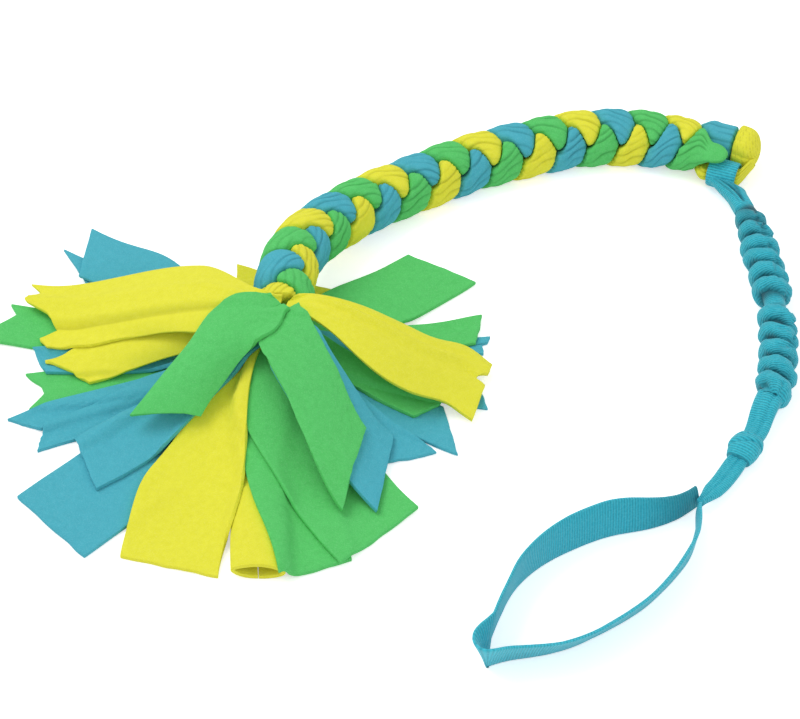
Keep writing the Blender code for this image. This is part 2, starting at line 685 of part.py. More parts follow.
def lift_clear(pile, room, x, y, z):
    """Raises the corners of each face until points inside it clear what lies below."""
    z = z.copy()
    for p, q in ((0.5, 0.5), (0.25, 0.25), (0.75, 0.75), (0.25, 0.75), (0.75, 0.25), (0.5, 0.0),
                 (0.0, 0.5), (0.5, 1.0), (1.0, 0.5), (0.25, 0.5), (0.75, 0.5), (0.5, 0.25),
                 (0.5, 0.75), (0.0, 0.25), (0.0, 0.75), (1.0, 0.25), (1.0, 0.75), (0.25, 0.0),
                 (0.75, 0.0), (0.25, 1.0), (0.75, 1.0)):
        w = [1 - max(p, q), max(p - q, 0.0), max(q - p, 0.0), min(p, q)]
        cut = [np.s_[:-1, :-1], np.s_[1:, :-1], np.s_[:-1, 1:], np.s_[1:, 1:]]
        px = sum(k * x[c] for k, c in zip(w, cut))
        py = sum(k * y[c] for k, c in zip(w, cut))
        pz = sum(k * z[c] for k, c in zip(w, cut))
        short = np.maximum(0.0, pile.look(room, px, py) - pz)
        raise_by = np.zeros_like(z)
        for k, c in zip(w, cut):
            if k > 0:
                raise_by[c] = np.maximum(raise_by[c], short)
        z = z + raise_by
    return z


def build_mop():
    pile = Pile()
    bm = bmesh.new()
    bmesh.ops.create_cone(bm, cap_ends=True, segments=16, radius1=CORE_RADIUS, radius2=CORE_RADIUS,
                          depth=CORE_TOP - CORE_BOTTOM)
    bmesh.ops.translate(bm, verts=bm.verts,
                        vec=(MOP_X, MOP_Y, (CORE_TOP + CORE_BOTTOM) / 2))
    rims = [e for e in bm.edges if abs(e.verts[0].co.z - e.verts[1].co.z) < 1e-6]
    bmesh.ops.bevel(bm, geom=rims, offset=2.5 * MM, segments=2, affect="EDGES", profile=0.5)
    core = add_object("mop_core", bm, GREEN)
    del core

    layer = [0]

    def low(name, slot, azimuth, reach, **kw):
        lay_strip(pile, name, slot, azimuth, reach, root_height=3.0 + 1.25 * layer[0], **kw)
        layer[0] += 1

    def top_strip(name, slot, azimuth, reach, root=18.0, flare=0.25, **kw):
        lay_strip(pile, name, slot, azimuth, reach, root_height=TOP_ROOT_HEIGHT / MM,
                  root_radius=3.0, root=root, flare=flare, **kw)

    # From the floor up, as they lie over each other in the photograph.
    low("strip_yellow_back", YELLOW, 92, 70, slant=-2, drop=60, width=46)
    low("strip_blue_front_square", BLUE, -135, 160, slant=3, drop=80)
    low("strip_green_front_low", GREEN, -83, 143, slant=-5, drop=90, width=44, bow=-8)
    low("strip_green_left_back", GREEN, 170, 151, slant=-3, drop=85, width=28)
    low("strip_blue_right_low", BLUE, 10, 107, slant=6, drop=80, width=42)
    low("strip_blue_back_left_low", BLUE, 137, 118, slant=-20, drop=90, width=28)
    low("strip_green_right_tip", GREEN, 16, 105, slant=8, drop=90, width=34)
    low("strip_green_back_right", GREEN, 38, 103, slant=-24, drop=90, width=32)
    low("strip_blue_back_left", BLUE, 143, 136, slant=11, drop=100, width=32, fold=3)
    low("strip_green_left_front", GREEN, -172, 137, slant=0, drop=90, width=28)
    low("strip_blue_left_tip", BLUE, -161, 142, slant=-15, drop=90, width=32)
    low("strip_blue_right_front", BLUE, -29, 99, slant=-20, drop=85, width=34)
    low("strip_blue_left_low", BLUE, -152, 128, slant=-18, drop=95, width=34)
    low("strip_blue_right_tip", BLUE, -17, 106, slant=8, drop=85, width=36)
    low("strip_green_right_low", GREEN, -28, 86, slant=-14, drop=85, width=38)
    low("strip_blue_left_sliver", BLUE, 178, 129, slant=-4, drop=95, width=34)
    low("strip_blue_front_right_low", BLUE, -44, 92, slant=11, drop=95, width=36, bow=-6)
    low("strip_green_front_right", GREEN, -67, 129, slant=-18, drop=105, width=48, bow=-16)
    low("strip_yellow_curled", YELLOW, -95, 146, slant=0, drop=105, width=26, fold=7)
    low("strip_yellow_front", YELLOW, -112, 150, slant=-4, drop=110, width=50, bow=-12)
    low("strip_blue_left_folded", BLUE, -143, 125, slant=9, drop=110, width=36, fold=5)
    low("strip_yellow_left_front", YELLOW, -174, 116, slant=-20, drop=115, width=34, fold=3,
        bow=-4)
    top_strip("strip_blue_front_right", BLUE, -58, 95, slant=-24, drop=120, width=32, bow=-9)
    top_strip("strip_yellow_left", YELLOW, 168, 138, slant=-14, drop=135, width=43, fold=4, bow=3,
              root=14.0, flare=0.34)
    top_strip("strip_yellow_right", YELLOW, -12, 104, slant=3, drop=125, width=42, fold=3, bow=-6)
    top_strip("strip_green_top_right", GREEN, -67, 93, slant=-36, drop=125, width=31, fold=3, bow=-9)
    top_strip("strip_green_top_left", GREEN, -137, 80, slant=-26, drop=135, width=29, fold=6)
    return pile


def centre_on_floor():
    """Moves everything so that the middle of its outline on the floor is the origin."""
    graph = bpy.context.evaluated_depsgraph_get()
    graph.update()
    low, high = np.full(3, 9.0), np.full(3, -9.0)
    for obj in TOY.objects:
        mesh = obj.evaluated_get(graph).to_mesh()
        for vert in mesh.vertices:
            low, high = np.minimum(low, vert.co), np.maximum(high, vert.co)
        obj.evaluated_get(graph).to_mesh_clear()
    shift = Vector(((low[0] + high[0]) / 2, (low[1] + high[1]) / 2, 0.0))
    for obj in TOY.objects:
        obj.data.transform(Matrix.Translation(-shift))
    return shift, low, high


def put_origin(names, place):
    """Gives each named piece its origin at a place, without moving its surface."""
    for name in names:
        obj = bpy.data.objects[name]
        obj.data.transform(Matrix.Translation(-place))
        obj.location = place


clear_scene()
TOY = bpy.data.collections.new("bungee_tug_toy")
bpy.context.scene.collection.children.link(TOY)

plait_route = build_plait()
sleeve_route, carried_by = lay_sleeve_route()
pivot, pivot_axis = build_end_loop(plait_route, sleeve_route)
build_sleeve(sleeve_route)
build_handle(sleeve_route, carried_by)
build_hand_loop(carried_by)
build_mop()
moved, low_corner, high_corner = centre_on_floor()
pivot = Vector(pivot) - moved
put_origin(["braid_end_loop", "bungee_sleeve", "elastic_core"], pivot)
stretch_start = Vector(sleeve_route.at(sleeve_route.length)) - moved
put_origin(["handle_strap", "knot_wrap", "hand_loop"], stretch_start)

print("size (mm)", np.round((high_corner - low_corner) / MM, 1))
print("shift (mm)", np.round(np.array(moved) / MM, 2))
print("loop pivot (m)", np.round(np.array(pivot), 5), "axis", np.round(-pivot_axis, 4))
print("sleeve end (m)", np.round(np.array(stretch_start), 5))
print("plait length (mm)", round(plait_route.length / MM, 1), "sleeve", round(sleeve_route.length / MM, 1))
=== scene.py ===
"""Looks of a bungee tug toy: a fleece mop, a fleece plait, a gathered sleeve and a hand loop.

Every piece is rebuilt here as finer cloth over the solid that it replaces, in the same frame.
"""
import math

import bmesh
import bpy
import numpy as np
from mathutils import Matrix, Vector, noise


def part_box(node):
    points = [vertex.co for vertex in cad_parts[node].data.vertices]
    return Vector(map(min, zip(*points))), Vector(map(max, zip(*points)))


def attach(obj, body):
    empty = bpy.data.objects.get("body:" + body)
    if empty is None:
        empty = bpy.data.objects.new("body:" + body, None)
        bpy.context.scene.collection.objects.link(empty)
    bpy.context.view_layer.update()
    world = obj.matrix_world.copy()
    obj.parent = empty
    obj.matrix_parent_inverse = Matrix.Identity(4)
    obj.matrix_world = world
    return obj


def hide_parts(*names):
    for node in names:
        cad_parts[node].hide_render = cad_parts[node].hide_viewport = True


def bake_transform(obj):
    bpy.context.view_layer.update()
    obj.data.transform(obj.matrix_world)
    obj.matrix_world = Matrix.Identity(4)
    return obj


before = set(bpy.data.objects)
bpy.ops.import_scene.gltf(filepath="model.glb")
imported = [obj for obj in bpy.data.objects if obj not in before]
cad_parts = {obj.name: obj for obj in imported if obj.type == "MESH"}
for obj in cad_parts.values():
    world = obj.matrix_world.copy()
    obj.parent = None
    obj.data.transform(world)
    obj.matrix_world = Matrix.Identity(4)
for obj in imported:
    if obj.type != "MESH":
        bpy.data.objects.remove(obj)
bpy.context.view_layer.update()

MM = 0.001

# The camera stands where the photograph was taken from.
CAMERA_ELEVATION = 45.0
CAMERA_DISTANCE = 1.8
METRES_A_PIXEL = 0.00052
IMAGE_WIDTH = 800

# The part's own layout, in metres
FLEECE = 2.2 * MM
REST_GAP = 0.45 * MM
MOP_X, MOP_Y = -59.0 * MM, -4.0 * MM
CORE_RADIUS = 9.5 * MM
CORE_TOP = 30.0 * MM
TOP_ROOT_HEIGHT = 42.0

STRAND_LIMIT = 13.0 * MM
PLAIT_HALF_WIDTH = 16.4 * MM
PLAIT_HALF_THICKNESS = 12.8 * MM
LOBE_PITCH = 17.8 * MM
LOBE_GROWTH = 0.13 * MM
STRAND_SWING = 7.0 * MM
STRAND_LIFT = 4.6 * MM
FIRST_LOBE_FROM_END = 29.3 * MM
PLAIT_ROLL = 34.0
END_LOBE = 14.0 * MM
END_LOBE_SIDE = 7.0 * MM

RING_FROM_END = 14.6 * MM
RING_BAND = 16.0 * MM
RING_INNER = 6.4 * MM
RING_WALL = 1.8 * MM
RING_SIDE = 13.5 * MM
RING_HEIGHT = 9.0 * MM
NECK_RADIUS = 5.9 * MM

SLEEVE_FOLD_RADIUS = 10.5 * MM
SLEEVE_VALLEY_RADIUS = 5.7 * MM
SLEEVE_HEIGHT = 10.8 * MM
FIRST_FOLD = 11.0 * MM
UPPER_FOLDS = 6
UPPER_PITCH = 11.0 * MM
PLAIN_NECK = 22.5 * MM
LOWER_FOLDS = 5
LOWER_PITCH = 12.3 * MM
LAST_FOLD_TO_END = 7.4 * MM

WEBBING_WIDTH = 25.0 * MM
WEBBING_THICKNESS = 1.9 * MM
STRAP_WIDTH = 13.5 * MM
STRAP_THICKNESS = 6.5 * MM
KNOT_BULGE = 8.4 * MM
KNOT_LENGTH = 15.0 * MM
RIB_PITCH = 1.45 * MM
FINE_RIB_PITCH = 1.25 * MM
THREAD_PITCH = 0.55 * MM
RIB_UNEVEN = 0.00012
ELASTIC_RADIUS = 3.5 * MM
UPPER_ROW_SHARE = (0.10, 0.20)

PLAIT_ROUTE = [
    (-59.8, 6.0, 31.0), (-58.9, 30.0, 32.0), (-52.0, 56.0, 27.5), (-38.8, 78.2, 22.0),
    (-23.6, 95.9, 18.0), (-8.6, 109.6, 15.2), (8.1, 120.9, 13.6), (25.0, 131.5, 12.8),
    (40.9, 139.9, 12.6), (57.5, 146.4, 12.6), (77.4, 153.0, 12.6), (96.2, 158.4, 12.6),
    (115.5, 160.1, 12.6), (132.5, 159.6, 12.6), (150.4, 156.2, 12.6), (171.0, 150.3, 12.6),
    (195.0, 141.0, 12.6),
]
SLEEVE_ROUTE = [
    (185.2, 104.0), (188.4, 93.4), (191.4, 73.0), (193.9, 53.0), (196.2, 33.0), (196.7, 16.0),
    (195.8, 0.0), (194.3, -18.0), (191.2, -31.5), (188.2, -39.0),
]
STRAP_ROUTE = [
    (180.4, -58.5, 6.8), (173.8, -71.0, 7.6), (169.0, -79.0, 6.0), (161.0, -92.0, 5.6),
    (154.5, -100.5, 6.2), (149.0, -107.5, 7.2),
]
LOOP_ROUTE = [
    (148.1, -102.0), (142.6, -106.8), (135.6, -111.8), (123.5, -117.3), (98.5, -125.0),
    (75.0, -139.0), (58.5, -157.0), (49.0, -178.5), (42.5, -197.5), (38.5, -207.0),
    (41.0, -211.5), (52.0, -208.5), (76.0, -204.0), (96.0, -194.0), (121.0, -174.0),
    (140.0, -147.0), (146.5, -127.0), (148.0, -111.8),
]

core_low, core_high = (np.array(c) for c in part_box("mop_core"))
SHIFT = np.array([MOP_X, MOP_Y, 0.0]) - np.array([*((core_low + core_high) / 2)[:2], 0.0])


def smoothstep(x):
    x = np.clip(x, 0.0, 1.0)
    return x * x * (3.0 - 2.0 * x)


def turn_steps(count):
    """The angles of so many equal steps round a circle."""
    return 2 * np.pi * np.arange(count) / count


def smooth_route(points, step):
    p = np.array(points, float) * MM
    p = np.vstack([2 * p[0] - p[1], p, 2 * p[-1] - p[-2]])
    out = []
    for i in range(1, len(p) - 2):
        for t in np.linspace(0, 1, 24, endpoint=False):
            a = 2 * p[i]
            b = p[i + 1] - p[i - 1]
            c = 2 * p[i - 1] - 5 * p[i] + 4 * p[i + 1] - p[i + 2]
            d = 3 * p[i] - p[i - 1] - 3 * p[i + 1] + p[i + 2]
            out.append(0.5 * (a + b * t + c * t * t + d * t ** 3))
    out = np.array(out + [p[-2]])
    along = np.concatenate([[0], np.cumsum(np.linalg.norm(np.diff(out, axis=0), axis=1))])
    count = max(2, int(round(along[-1] / step)) + 1)
    at = np.linspace(0, along[-1], count)
    return np.stack([np.interp(at, along, out[:, k]) for k in range(out.shape[1])], 1), along[-1]


class Route:
    """A smooth line on which any distance can be looked up."""

    def __init__(self, points, height=None):
        self.p, self.length = smooth_route(points, 1.0 * MM)
        if height is not None:
            self.p = np.hstack([self.p, np.full((len(self.p), 1), height)])
        self.s = np.linspace(0, self.length, len(self.p))

    def at(self, s):
        inside = min(max(s, 0.0), self.length)
        point = np.array([np.interp(inside, self.s, self.p[:, k]) for k in range(3)])
        return point + (s - inside) * self.tangent(inside)

    def tangent(self, s):
        h = 2.0 * MM
        a, b = max(0.0, s - h), min(self.length, s + h)
        d = [np.interp(b, self.s, self.p[:, k]) - np.interp(a, self.s, self.p[:, k])
             for k in range(3)]
        return np.array(d) / np.linalg.norm(d)

    def frame(self, s):
        t = self.tangent(s)
        left = np.cross([0, 0, 1], t)
        left = left / np.linalg.norm(left)
        return t, left, np.cross(t, left)


def sleeve_length():
    lower = PLAIN_NECK + (LOWER_FOLDS - 1) * LOWER_PITCH + LAST_FOLD_TO_END
    return FIRST_FOLD + (UPPER_FOLDS - 1) * UPPER_PITCH + lower


def lay_sleeve_route():
    """The sleeve's line, as long as its folds make it, and how far that moves what it carries."""
    points = np.array(SLEEVE_ROUTE)
    drawn = Route(SLEEVE_ROUTE, SLEEVE_HEIGHT).length
    longer = points[0] + (points - points[0]) * (sleeve_length() / drawn)
    return Route([tuple(p) for p in longer], SLEEVE_HEIGHT), longer[-1] - points[-1]


def carried(points, by):
    """A route moved on the floor with the sleeve's end."""
    return [(p[0] + by[0], p[1] + by[1], *p[2:]) for p in points]


def wander(*at):
    """Smooth noise from -1 to 1, the same on each run."""
    return noise.noise(Vector(at))


# Materials

# Painted shade in creases: how strongly it darkens fleece and webbing.
FLEECE_CREASE_SHADE = 0.55  # how far a crease darkens the cloth
WEBBING_CREASE_SHADE = 0.95


def nodes_of(name):
    mat = bpy.data.materials.new(name)
    mat.use_nodes = True
    tree = mat.node_tree
    return mat, tree, tree.nodes["Principled BSDF"]


def set_inputs(node, values):
    for key, value in values.items():
        node.inputs[key].default_value = value


def add(tree, kind, **sockets):
    node = tree.nodes.new(kind)
    set_inputs(node, sockets)
    return node


def math_node(tree, operation, a, b=None, c=None, clamp=False):
    node = tree.nodes.new("ShaderNodeMath")
    node.operation = operation
    node.use_clamp = clamp
    for k, value in enumerate((a, b, c)):
        if value is None:
            continue
        if isinstance(value, (int, float)):
            node.inputs[k].default_value = value
        else:
            tree.links.new(value, node.inputs[k])
    return node.outputs[0]


def mix_colour(tree, share, a, b):
    node = tree.nodes.new("ShaderNodeMix")
    node.data_type = "RGBA"
    for socket, value in ((node.inputs[0], share), (node.inputs[6], a), (node.inputs[7], b)):
        if isinstance(value, (tuple, list)):
            socket.default_value = (*value, 1.0)
        elif isinstance(value, (int, float)):
            socket.default_value = value
        else:
            tree.links.new(value, socket)
    return node.outputs[2]


def raised(tree, shader, height, strength, distance):
    """Gives a surface its grain."""
    bump = add(tree, "ShaderNodeBump", Strength=strength, Distance=distance)
    tree.links.new(height, bump.inputs["Height"])
    tree.links.new(bump.outputs["Normal"], shader.inputs["Normal"])


def crease_shaded(tree, colour, dark, share, shade):
    """A colour with painted shade: darker where the mesh is marked as lying deep in a crease."""
    shade_mark = tree.nodes.new("ShaderNodeAttribute")
    shade_mark.attribute_name = "painted_crease_shade"
    deep = math_node(tree, "MULTIPLY", shade_mark.outputs["Fac"], share)
    return mix_colour(tree, deep, colour, tuple(shade * c for c in dark))


def fleece(name, light, dark, pale):
    """Brushed knit: short matted pile in soft clumps, paler where the nap catches light."""
    mat, tree, shader = nodes_of(name)
    where = tree.nodes.new("ShaderNodeTexCoord").outputs["Object"]
    clump = add(tree, "ShaderNodeTexNoise", Scale=330.0, Detail=3.0, Roughness=0.6)
    pile = add(tree, "ShaderNodeTexNoise", Scale=1500.0, Detail=3.0, Roughness=0.7)
    wide = add(tree, "ShaderNodeTexNoise", Scale=38.0, Detail=2.0)
    for node in (clump, pile, wide):
        tree.links.new(where, node.inputs["Vector"])
    share = math_node(tree, "MULTIPLY_ADD", clump.outputs["Fac"], 1.3, -0.15)
    colour = mix_colour(tree, share, dark, light)
    fine = math_node(tree, "MULTIPLY_ADD", pile.outputs["Fac"], 1.6, -0.75, clamp=True)
    colour = mix_colour(tree, fine, colour, pale)
    worn = math_node(tree, "MULTIPLY_ADD", wide.outputs["Fac"], 0.5, -0.16, clamp=True)
    colour = crease_shaded(tree, mix_colour(tree, worn, colour, light), dark, FLEECE_CREASE_SHADE, 0.5)
    tree.links.new(colour, shader.inputs["Base Color"])
    height = math_node(tree, "ADD", math_node(tree, "MULTIPLY", clump.outputs["Fac"], 0.6),
                       math_node(tree, "MULTIPLY", pile.outputs["Fac"], 0.5))
    raised(tree, shader, height, 0.45, 0.0006)
    set_inputs(shader, {"Roughness": 0.95, "Specular IOR Level": 0.12, "Sheen Weight": 0.25,
                        "Sheen Roughness": 0.6, "Sheen Tint": (*pale, 1.0)})
    return mat


def webbing(name, light, dark, pale, pitch):
    """Ribbed webbing: a rib every so far along it, each rib with its own fine threads."""
    mat, tree, shader = nodes_of(name)
    uv = tree.nodes.new("ShaderNodeUVMap")
    uv.uv_map = "UVMap"
    split = tree.nodes.new("ShaderNodeSeparateXYZ")
    tree.links.new(uv.outputs[0], split.inputs[0])
    where = tree.nodes.new("ShaderNodeTexCoord").outputs["Object"]
    rough = add(tree, "ShaderNodeTexNoise", Scale=900.0, Detail=3.0, Roughness=0.65)
    wide = add(tree, "ShaderNodeTexNoise", Scale=60.0, Detail=2.0)
    for node in (rough, wide):
        tree.links.new(where, node.inputs["Vector"])
    along = math_node(tree, "ADD", split.outputs[0],
                      math_node(tree, "MULTIPLY", rough.outputs["Fac"], RIB_UNEVEN))
    wave = math_node(tree, "SINE", math_node(tree, "MULTIPLY", along, 2 * math.pi / pitch))
    rib_relief_and_shade = math_node(tree, "MULTIPLY_ADD", wave, 0.5, 0.5)
    rib_relief_and_shade = math_node(tree, "POWER", rib_relief_and_shade, 0.6)
    thread = math_node(tree, "SINE", math_node(tree, "MULTIPLY", split.outputs[1],
                                               2 * math.pi / THREAD_PITCH))
    # Darker between the ribs: painted shade in the grooves.
    colour = mix_colour(tree, rib_relief_and_shade, dark, light)
    fleck = math_node(tree, "MULTIPLY_ADD", rough.outputs["Fac"], 1.5, -0.62, clamp=True)
    colour = mix_colour(tree, fleck, colour, pale)
    soft = math_node(tree, "MULTIPLY_ADD", wide.outputs["Fac"], 0.6, -0.2, clamp=True)
    colour = crease_shaded(tree, mix_colour(tree, soft, colour, light), dark, WEBBING_CREASE_SHADE, 0.30)
    tree.links.new(colour, shader.inputs["Base Color"])
    height = math_node(tree, "ADD", rib_relief_and_shade, math_node(tree, "MULTIPLY", thread, 0.07))
    height = math_node(tree, "ADD", height, math_node(tree, "MULTIPLY", rough.outputs["Fac"], 0.35))
    raised(tree, shader, height, 0.72, 0.0003)
    set_inputs(shader, {"Roughness": 0.62, "Specular IOR Level": 0.3, "Sheen Weight": 0.15,
                        "Sheen Roughness": 0.4})
    return mat


# Each cloth's colour, its shade among the fibres and its pale nap
YELLOW = fleece("fleece_yellow", (0.90, 0.88, 0.062), (0.78, 0.76, 0.035), (0.94, 0.92, 0.22))
GREEN = fleece("fleece_green", (0.122, 0.66, 0.170), (0.09, 0.54, 0.125), (0.24, 0.75, 0.31))
BLUE = fleece("fleece_blue", (0.088, 0.49, 0.60), (0.065, 0.40, 0.50), (0.20, 0.60, 0.71))
TEAL = webbing("webbing_teal", (0.045, 0.57, 0.71), (0.020, 0.37, 0.49), (0.15, 0.72, 0.83),
               RIB_PITCH)
TEAL_FINE = webbing("webbing_teal_gathered", (0.030, 0.54, 0.68), (0.010, 0.27, 0.37),
                    (0.13, 0.70, 0.81), FINE_RIB_PITCH)


def elastic():
    mat, tree, shader = nodes_of("elastic_white")
    where = tree.nodes.new("ShaderNodeTexCoord").outputs["Object"]
    weave = add(tree, "ShaderNodeTexNoise", Scale=1200.0, Detail=3.0)
    tree.links.new(where, weave.inputs["Vector"])
    tree.links.new(mix_colour(tree, weave.outputs["Fac"], (0.55, 0.55, 0.52), (0.86, 0.86, 0.84)),
                   shader.inputs["Base Color"])
    raised(tree, shader, weave.outputs["Fac"], 0.5, 0.0003)
    shader.inputs["Roughness"].default_value = 0.7
    return mat


WHITE = elastic()


# Building meshes

def make(name, points, faces, mat, uvs=None, deep=None):
    mesh = bpy.data.meshes.new(name)
    mesh.from_pydata([tuple(p) for p in points], [], faces)
    if uvs is not None:
        layer = mesh.uv_layers.new(name="UVMap")
        flat = np.array([uvs[k][i] for k, face in enumerate(faces)
                         for i in range(len(face))], float)
        layer.data.foreach_set("uv", flat.ravel())
    mesh.polygons.foreach_set("use_smooth", [True] * len(mesh.polygons))
    mesh.materials.append(mat)
    # deep is painted shade: the material darkens the colour by it in creases and hollows.
    if deep is not None:
        shade_mark = mesh.attributes.new("painted_crease_shade", "FLOAT", "POINT")
        shade_mark.data.foreach_set("value", np.clip(deep, 0, 1).astype(np.float32))
    mesh.update()
    obj = bpy.data.objects.new(name, mesh)
    bpy.context.scene.collection.objects.link(obj)
    return obj


def tube_parts(rings, along, around, closed=False, base=0):
    """Faces and their map coordinates for rings of equal count."""
    count, sides = len(rings), len(rings[0])
    faces, uvs = [], []
    rows = list(zip(range(count), range(1, count)))
    if closed:
        rows.append((count - 1, 0))
    for a, b in rows:
        ub = along[b] if b > a else 2 * along[a] - along[a - 1]
        for i in range(sides):
            j = (i + 1) % sides
            vi, vj = around[i], around[j] if j else around[i] + (around[1] - around[0])
            faces.append((base + a * sides + i, base + a * sides + j,
                          base + b * sides + j, base + b * sides + i))
            uvs.append(((along[a], vi), (along[a], vj), (ub, vj), (ub, vi)))
    if not closed:
        for a, order in ((0, -1), (count - 1, 1)):
            ring = [base + a * sides + i for i in range(sides)][::order]
            faces.append(tuple(ring))
            uvs.append(tuple((along[a], around[i]) for i in range(sides))[::order])
    return faces, uvs


def tube(name, rings, along, around, mat, deep=None):
    faces, uvs = tube_parts(rings, along, around)
    points = np.concatenate([np.asarray(r) for r in rings]) - SHIFT
    deep = None if deep is None else np.concatenate(deep)
    return finish_mesh(make(name, points, faces, mat, uvs, deep))


def finish_mesh(obj):
    """Faces turned outward."""
    bm = bmesh.new()
    bm.from_mesh(obj.data)
    bmesh.ops.recalc_face_normals(bm, faces=bm.faces)
    bm.to_mesh(obj.data)
    bm.free()
    return obj


def done(obj, body, mat, *nodes):
    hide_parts(*nodes)
    if body:
        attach(obj, body)
    return obj


# The plait

STRAND_SIDES = 116
STRAND_STEP = 1.05 * MM
STRAND_POWER = 6.5  # how tightly a strand fills its room
STRAND_TIP = 8 * MM
PLEAT_DEPTH = 0.75 * MM
PLEAT_WIDTH = 0.66 * MM
ON_FLOOR = 0.2 * MM  # the lowest that a soft piece lies


def strand_places(s, length):
    """Where the three strands lie in the plait's section, their reach, and how far out they are."""
    end = length - s
    root = math.sqrt(LOBE_PITCH ** 2 + 4 * LOBE_GROWTH * (end - FIRST_LOBE_FROM_END))
    lobes = (root - LOBE_PITCH) / (2 * LOBE_GROWTH)
    out = {}
    for number, key in enumerate(("blue", "green", "yellow")):
        turn = math.pi / 2 - 2 * math.pi * (lobes + number) / 3
        place = np.array([STRAND_SWING * math.sin(turn), -STRAND_LIFT * math.sin(2 * turn)])
        over = max(math.sin(turn) ** 2, abs(math.sin(2 * turn)))
        out[key] = [place, np.array([STRAND_LIMIT, STRAND_LIMIT]), over]
    ring_low = RING_HEIGHT - PLAIT_ROUTE[-1][2] * MM
    near = 1 - smoothstep((end - RING_FROM_END - RING_BAND / 2 - 1 * MM) / (10 * MM))
    past = 1 - smoothstep((end - 1 * MM) / (RING_FROM_END - RING_BAND / 2 - 1 * MM))
    targets = {
        "yellow": (np.array([-RING_SIDE, ring_low]), np.array([NECK_RADIUS, NECK_RADIUS])),
        "green": (np.array([-RING_SIDE + 1.5 * MM, ring_low + 12.2 * MM]),
                  np.array([7.4, 4.6]) * MM),
        "blue": (np.array([6.0 * MM, 1.0 * MM]), np.array([11.5, 10.6]) * MM),
    }
    for key, (place, reach) in targets.items():
        out[key][0] = out[key][0] * (1 - near) + place * near
        out[key][1] = out[key][1] * (1 - near) + reach * near
        out[key][2] = out[key][2] * (1 - near) + near
    if past > 0:
        out["yellow"][0] = out["yellow"][0] * (1 - past) + np.array([-3.0, -1.0]) * MM * past
        out["yellow"][1] = out["yellow"][1] * (1 - past) + np.array([6.5, 7.0]) * MM * past
    return out


def rounded_end(left, size):
    x = min(1.0, max(0.0, left / size))
    return math.sqrt(max(0.0, 1 - (1 - x) ** 2))


def rolled(s, length):
    level = smoothstep((length - s - 30 * MM) / (40 * MM))
    a = math.radians(PLAIT_ROLL) * level * smoothstep(s / (40 * MM))
    return math.cos(a), math.sin(a)


def strand_room(key, s, length, stops, rays, gap):
    """How far a strand reaches in each direction, soft where it meets its neighbours."""
    places = strand_places(s, length)
    centre, reach, outward = places[key]
    reach = reach * max(0.12, rounded_end(stops[key] - s, (2.2 if key == "blue" else 9) * MM))
    limits = [1 / np.hypot(rays[:, 0] / reach[0], rays[:, 1] / reach[1])]
    ring_zone = abs(length - s - RING_FROM_END) <= RING_BAND / 2 + 1.0 * MM
    walls = []
    for other, (place, _, _) in places.items():
        if other == key or s > stops[other] + 2 * MM:
            continue
        away = place - centre
        d = np.linalg.norm(away)
        more = np.array(UPPER_ROW_SHARE) @ (centre - place)
        walls.append((away / d, d / 2 - gap / 2 + more))
    if ring_zone and key != "yellow":
        away = np.array([-RING_SIDE, RING_HEIGHT - PLAIT_ROUTE[-1][2] * MM]) - centre
        d = np.linalg.norm(away)
        walls.append((away / d, d - RING_INNER - RING_WALL - 0.2 * MM))
    for normal, far in walls:
        facing = rays @ normal
        limits.append(np.where(facing > 0.02, far / np.maximum(facing, 0.02), 1.0))
    if ring_zone and key == "yellow":
        limits.append(np.full(len(rays), NECK_RADIUS))
    widest = PLAIT_HALF_WIDTH + 10 * MM * (1 - smoothstep((length - s - 22 * MM) / (14 * MM)))
    widest = widest * (0.90 + 0.10 * outward)
    thick = PLAIT_HALF_THICKNESS * (0.86 + 0.14 * outward)
    a = (rays[:, 0] / widest) ** 2 + (rays[:, 1] / thick) ** 2
    b = 2 * (centre[0] * rays[:, 0] / widest ** 2 + centre[1] * rays[:, 1] / thick ** 2)
    c = min(-0.02, (centre[0] / widest) ** 2 + (centre[1] / thick) ** 2 - 1)
    limits.append((-b + np.sqrt(b * b - 4 * a * c)) / (2 * a))
    return centre, sum(np.maximum(x, 0.3 * MM) ** -STRAND_POWER
                       for x in limits) ** (-1 / STRAND_POWER)


def build_plait():
    route = Route(PLAIT_ROUTE)
    length = route.length
    stops = {"yellow": length, "green": length - 13.5 * MM, "blue": length - END_LOBE - 0.3 * MM}
    turns = turn_steps(STRAND_SIDES)
    rays = np.stack([np.cos(turns), np.sin(turns)], 1)
    for k, (key, mat) in enumerate((("yellow", YELLOW), ("green", GREEN), ("blue", BLUE))):
        stop = stops[key]
        body = list(np.arange(0, stop - STRAND_TIP, STRAND_STEP))
        own = body + [stop - STRAND_TIP * (1 - u) ** 1.7 for u in np.linspace(0.06, 0.985, 14)]
        rings, deep = [], []
        for s in own:
            centre, room = strand_room(key, s, length, stops, rays, 0.25 * MM)
            # The pleats' marks paint shade along the strand's folds.
            room, shade_mark = pleated(room, turns, s, k)
            deep.append(shade_mark)
            _, left, up = route.frame(s)
            c, r = rolled(s, length)
            flat = centre + rays * room[:, None]
            ring = route.at(s) + np.outer(flat[:, 0] * c - flat[:, 1] * r, left) \
                + np.outer(flat[:, 0] * r + flat[:, 1] * c, up)
            ring[:, 2] = np.maximum(ring[:, 2], ON_FLOOR)
            rings.append(ring)
        obj = tube("plait_strand_" + key, rings, own, turns * 8 * MM, mat, deep=deep)
        if key == "yellow":
            join(obj, turned_end(route))
        done(obj, "mop_and_braid", mat, "braid_strand_" + key)
    return route


